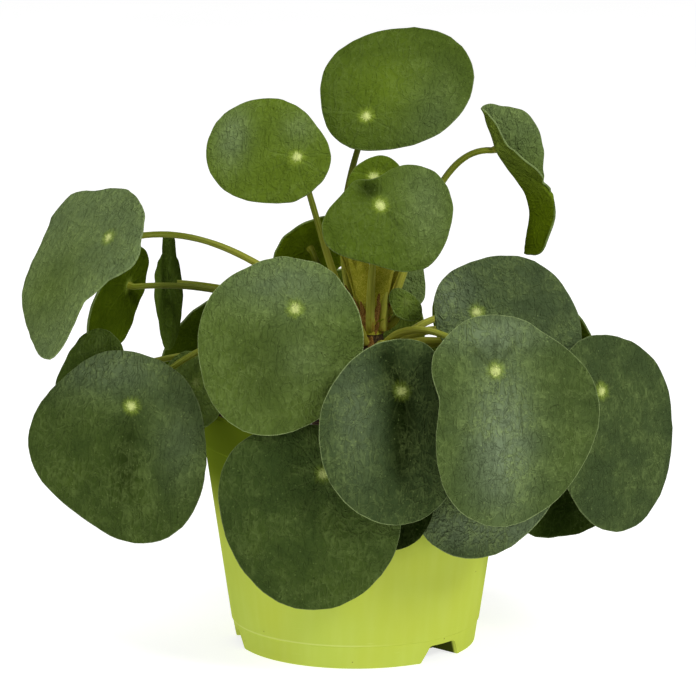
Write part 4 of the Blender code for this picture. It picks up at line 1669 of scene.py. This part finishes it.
@dataclass
class Studio:
    """Pale floor, soft lights and the photograph's camera."""

    aim: Vector
    camera_elevation: float = 11.2  # degrees
    camera_distance: float = 1500.0
    lens: float = 204.2
    sensor: float = 36.0
    sight: float = 30.0  # metres
    floor_radius: float = 6000.0
    world: float = 0.33
    boxes: tuple[Softbox, ...] = (
        Softbox("key_right", (1.1, -1.4, 1.4), 0.5, 20.0),
        Softbox("fill_left", (-1.6, -1.2, 1.2), 1.0, 6.0),
        Softbox("top", (0.0, -0.2, 2.0), 1.4, 15.0),
    )

    def camera(self) -> None:
        """Places the camera and makes it the scene's."""
        data = bpy.data.cameras.new("camera")
        data.lens, data.sensor_width, data.clip_end = self.lens, self.sensor, self.sight
        camera = add_object("camera", data)
        rise = math.radians(self.camera_elevation)
        back = Vector((0.0, -math.cos(rise), math.sin(rise))) * self.camera_distance
        camera.location = (self.aim + back) * MM
        camera.rotation_euler = (math.pi / 2 - rise, 0.0, 0.0)
        bpy.context.scene.camera = camera

    def floor(self) -> None:
        """Lays the floor."""
        bm = bmesh.new()
        bmesh.ops.create_circle(bm, cap_ends=True, segments=64, radius=self.floor_radius)
        floor = add_mesh("floor", bm, [FLOOR.make()])

    def lights(self) -> None:
        """Hangs the softboxes and sets the even light from all round."""
        for box in self.boxes:
            data = bpy.data.lights.new(box.name, "AREA")
            data.size, data.energy = box.side, box.power
            light = add_object(box.name, data)
            light.location = box.place
            light.rotation_euler = (self.aim * MM - light.location).to_track_quat("-Z", "Y").to_euler()
        world = bpy.data.worlds.new("studio")
        world.use_nodes = True
        inputs = world.node_tree.nodes["Background"].inputs
        inputs["Color"].default_value = (1.0, 1.0, 1.0, 1.0)
        inputs["Strength"].default_value = self.world
        bpy.context.scene.world = world
        bpy.context.scene.view_settings.view_transform = "Standard"

    def build(self) -> None:
        """Sets up the studio."""
        self.floor()
        self.lights()
        self.camera()


def main() -> None:
    """Builds the object in order and sets it in the studio."""
    logging.basicConfig(level=logging.INFO, format="%(name)s: %(message)s", stream=sys.stdout)
    pot, stem = Pot(), Stem()
    pot.build()
    SoilBed(pot, stem).build()
    stem.build([leaf.base for leaf in LEAVES])
    Foliage(LEAVES, stem).build()
    Studio(aim=Vector((-2.85, 0.0, 113.4))).build()


if __name__ == "__main__":
    main()
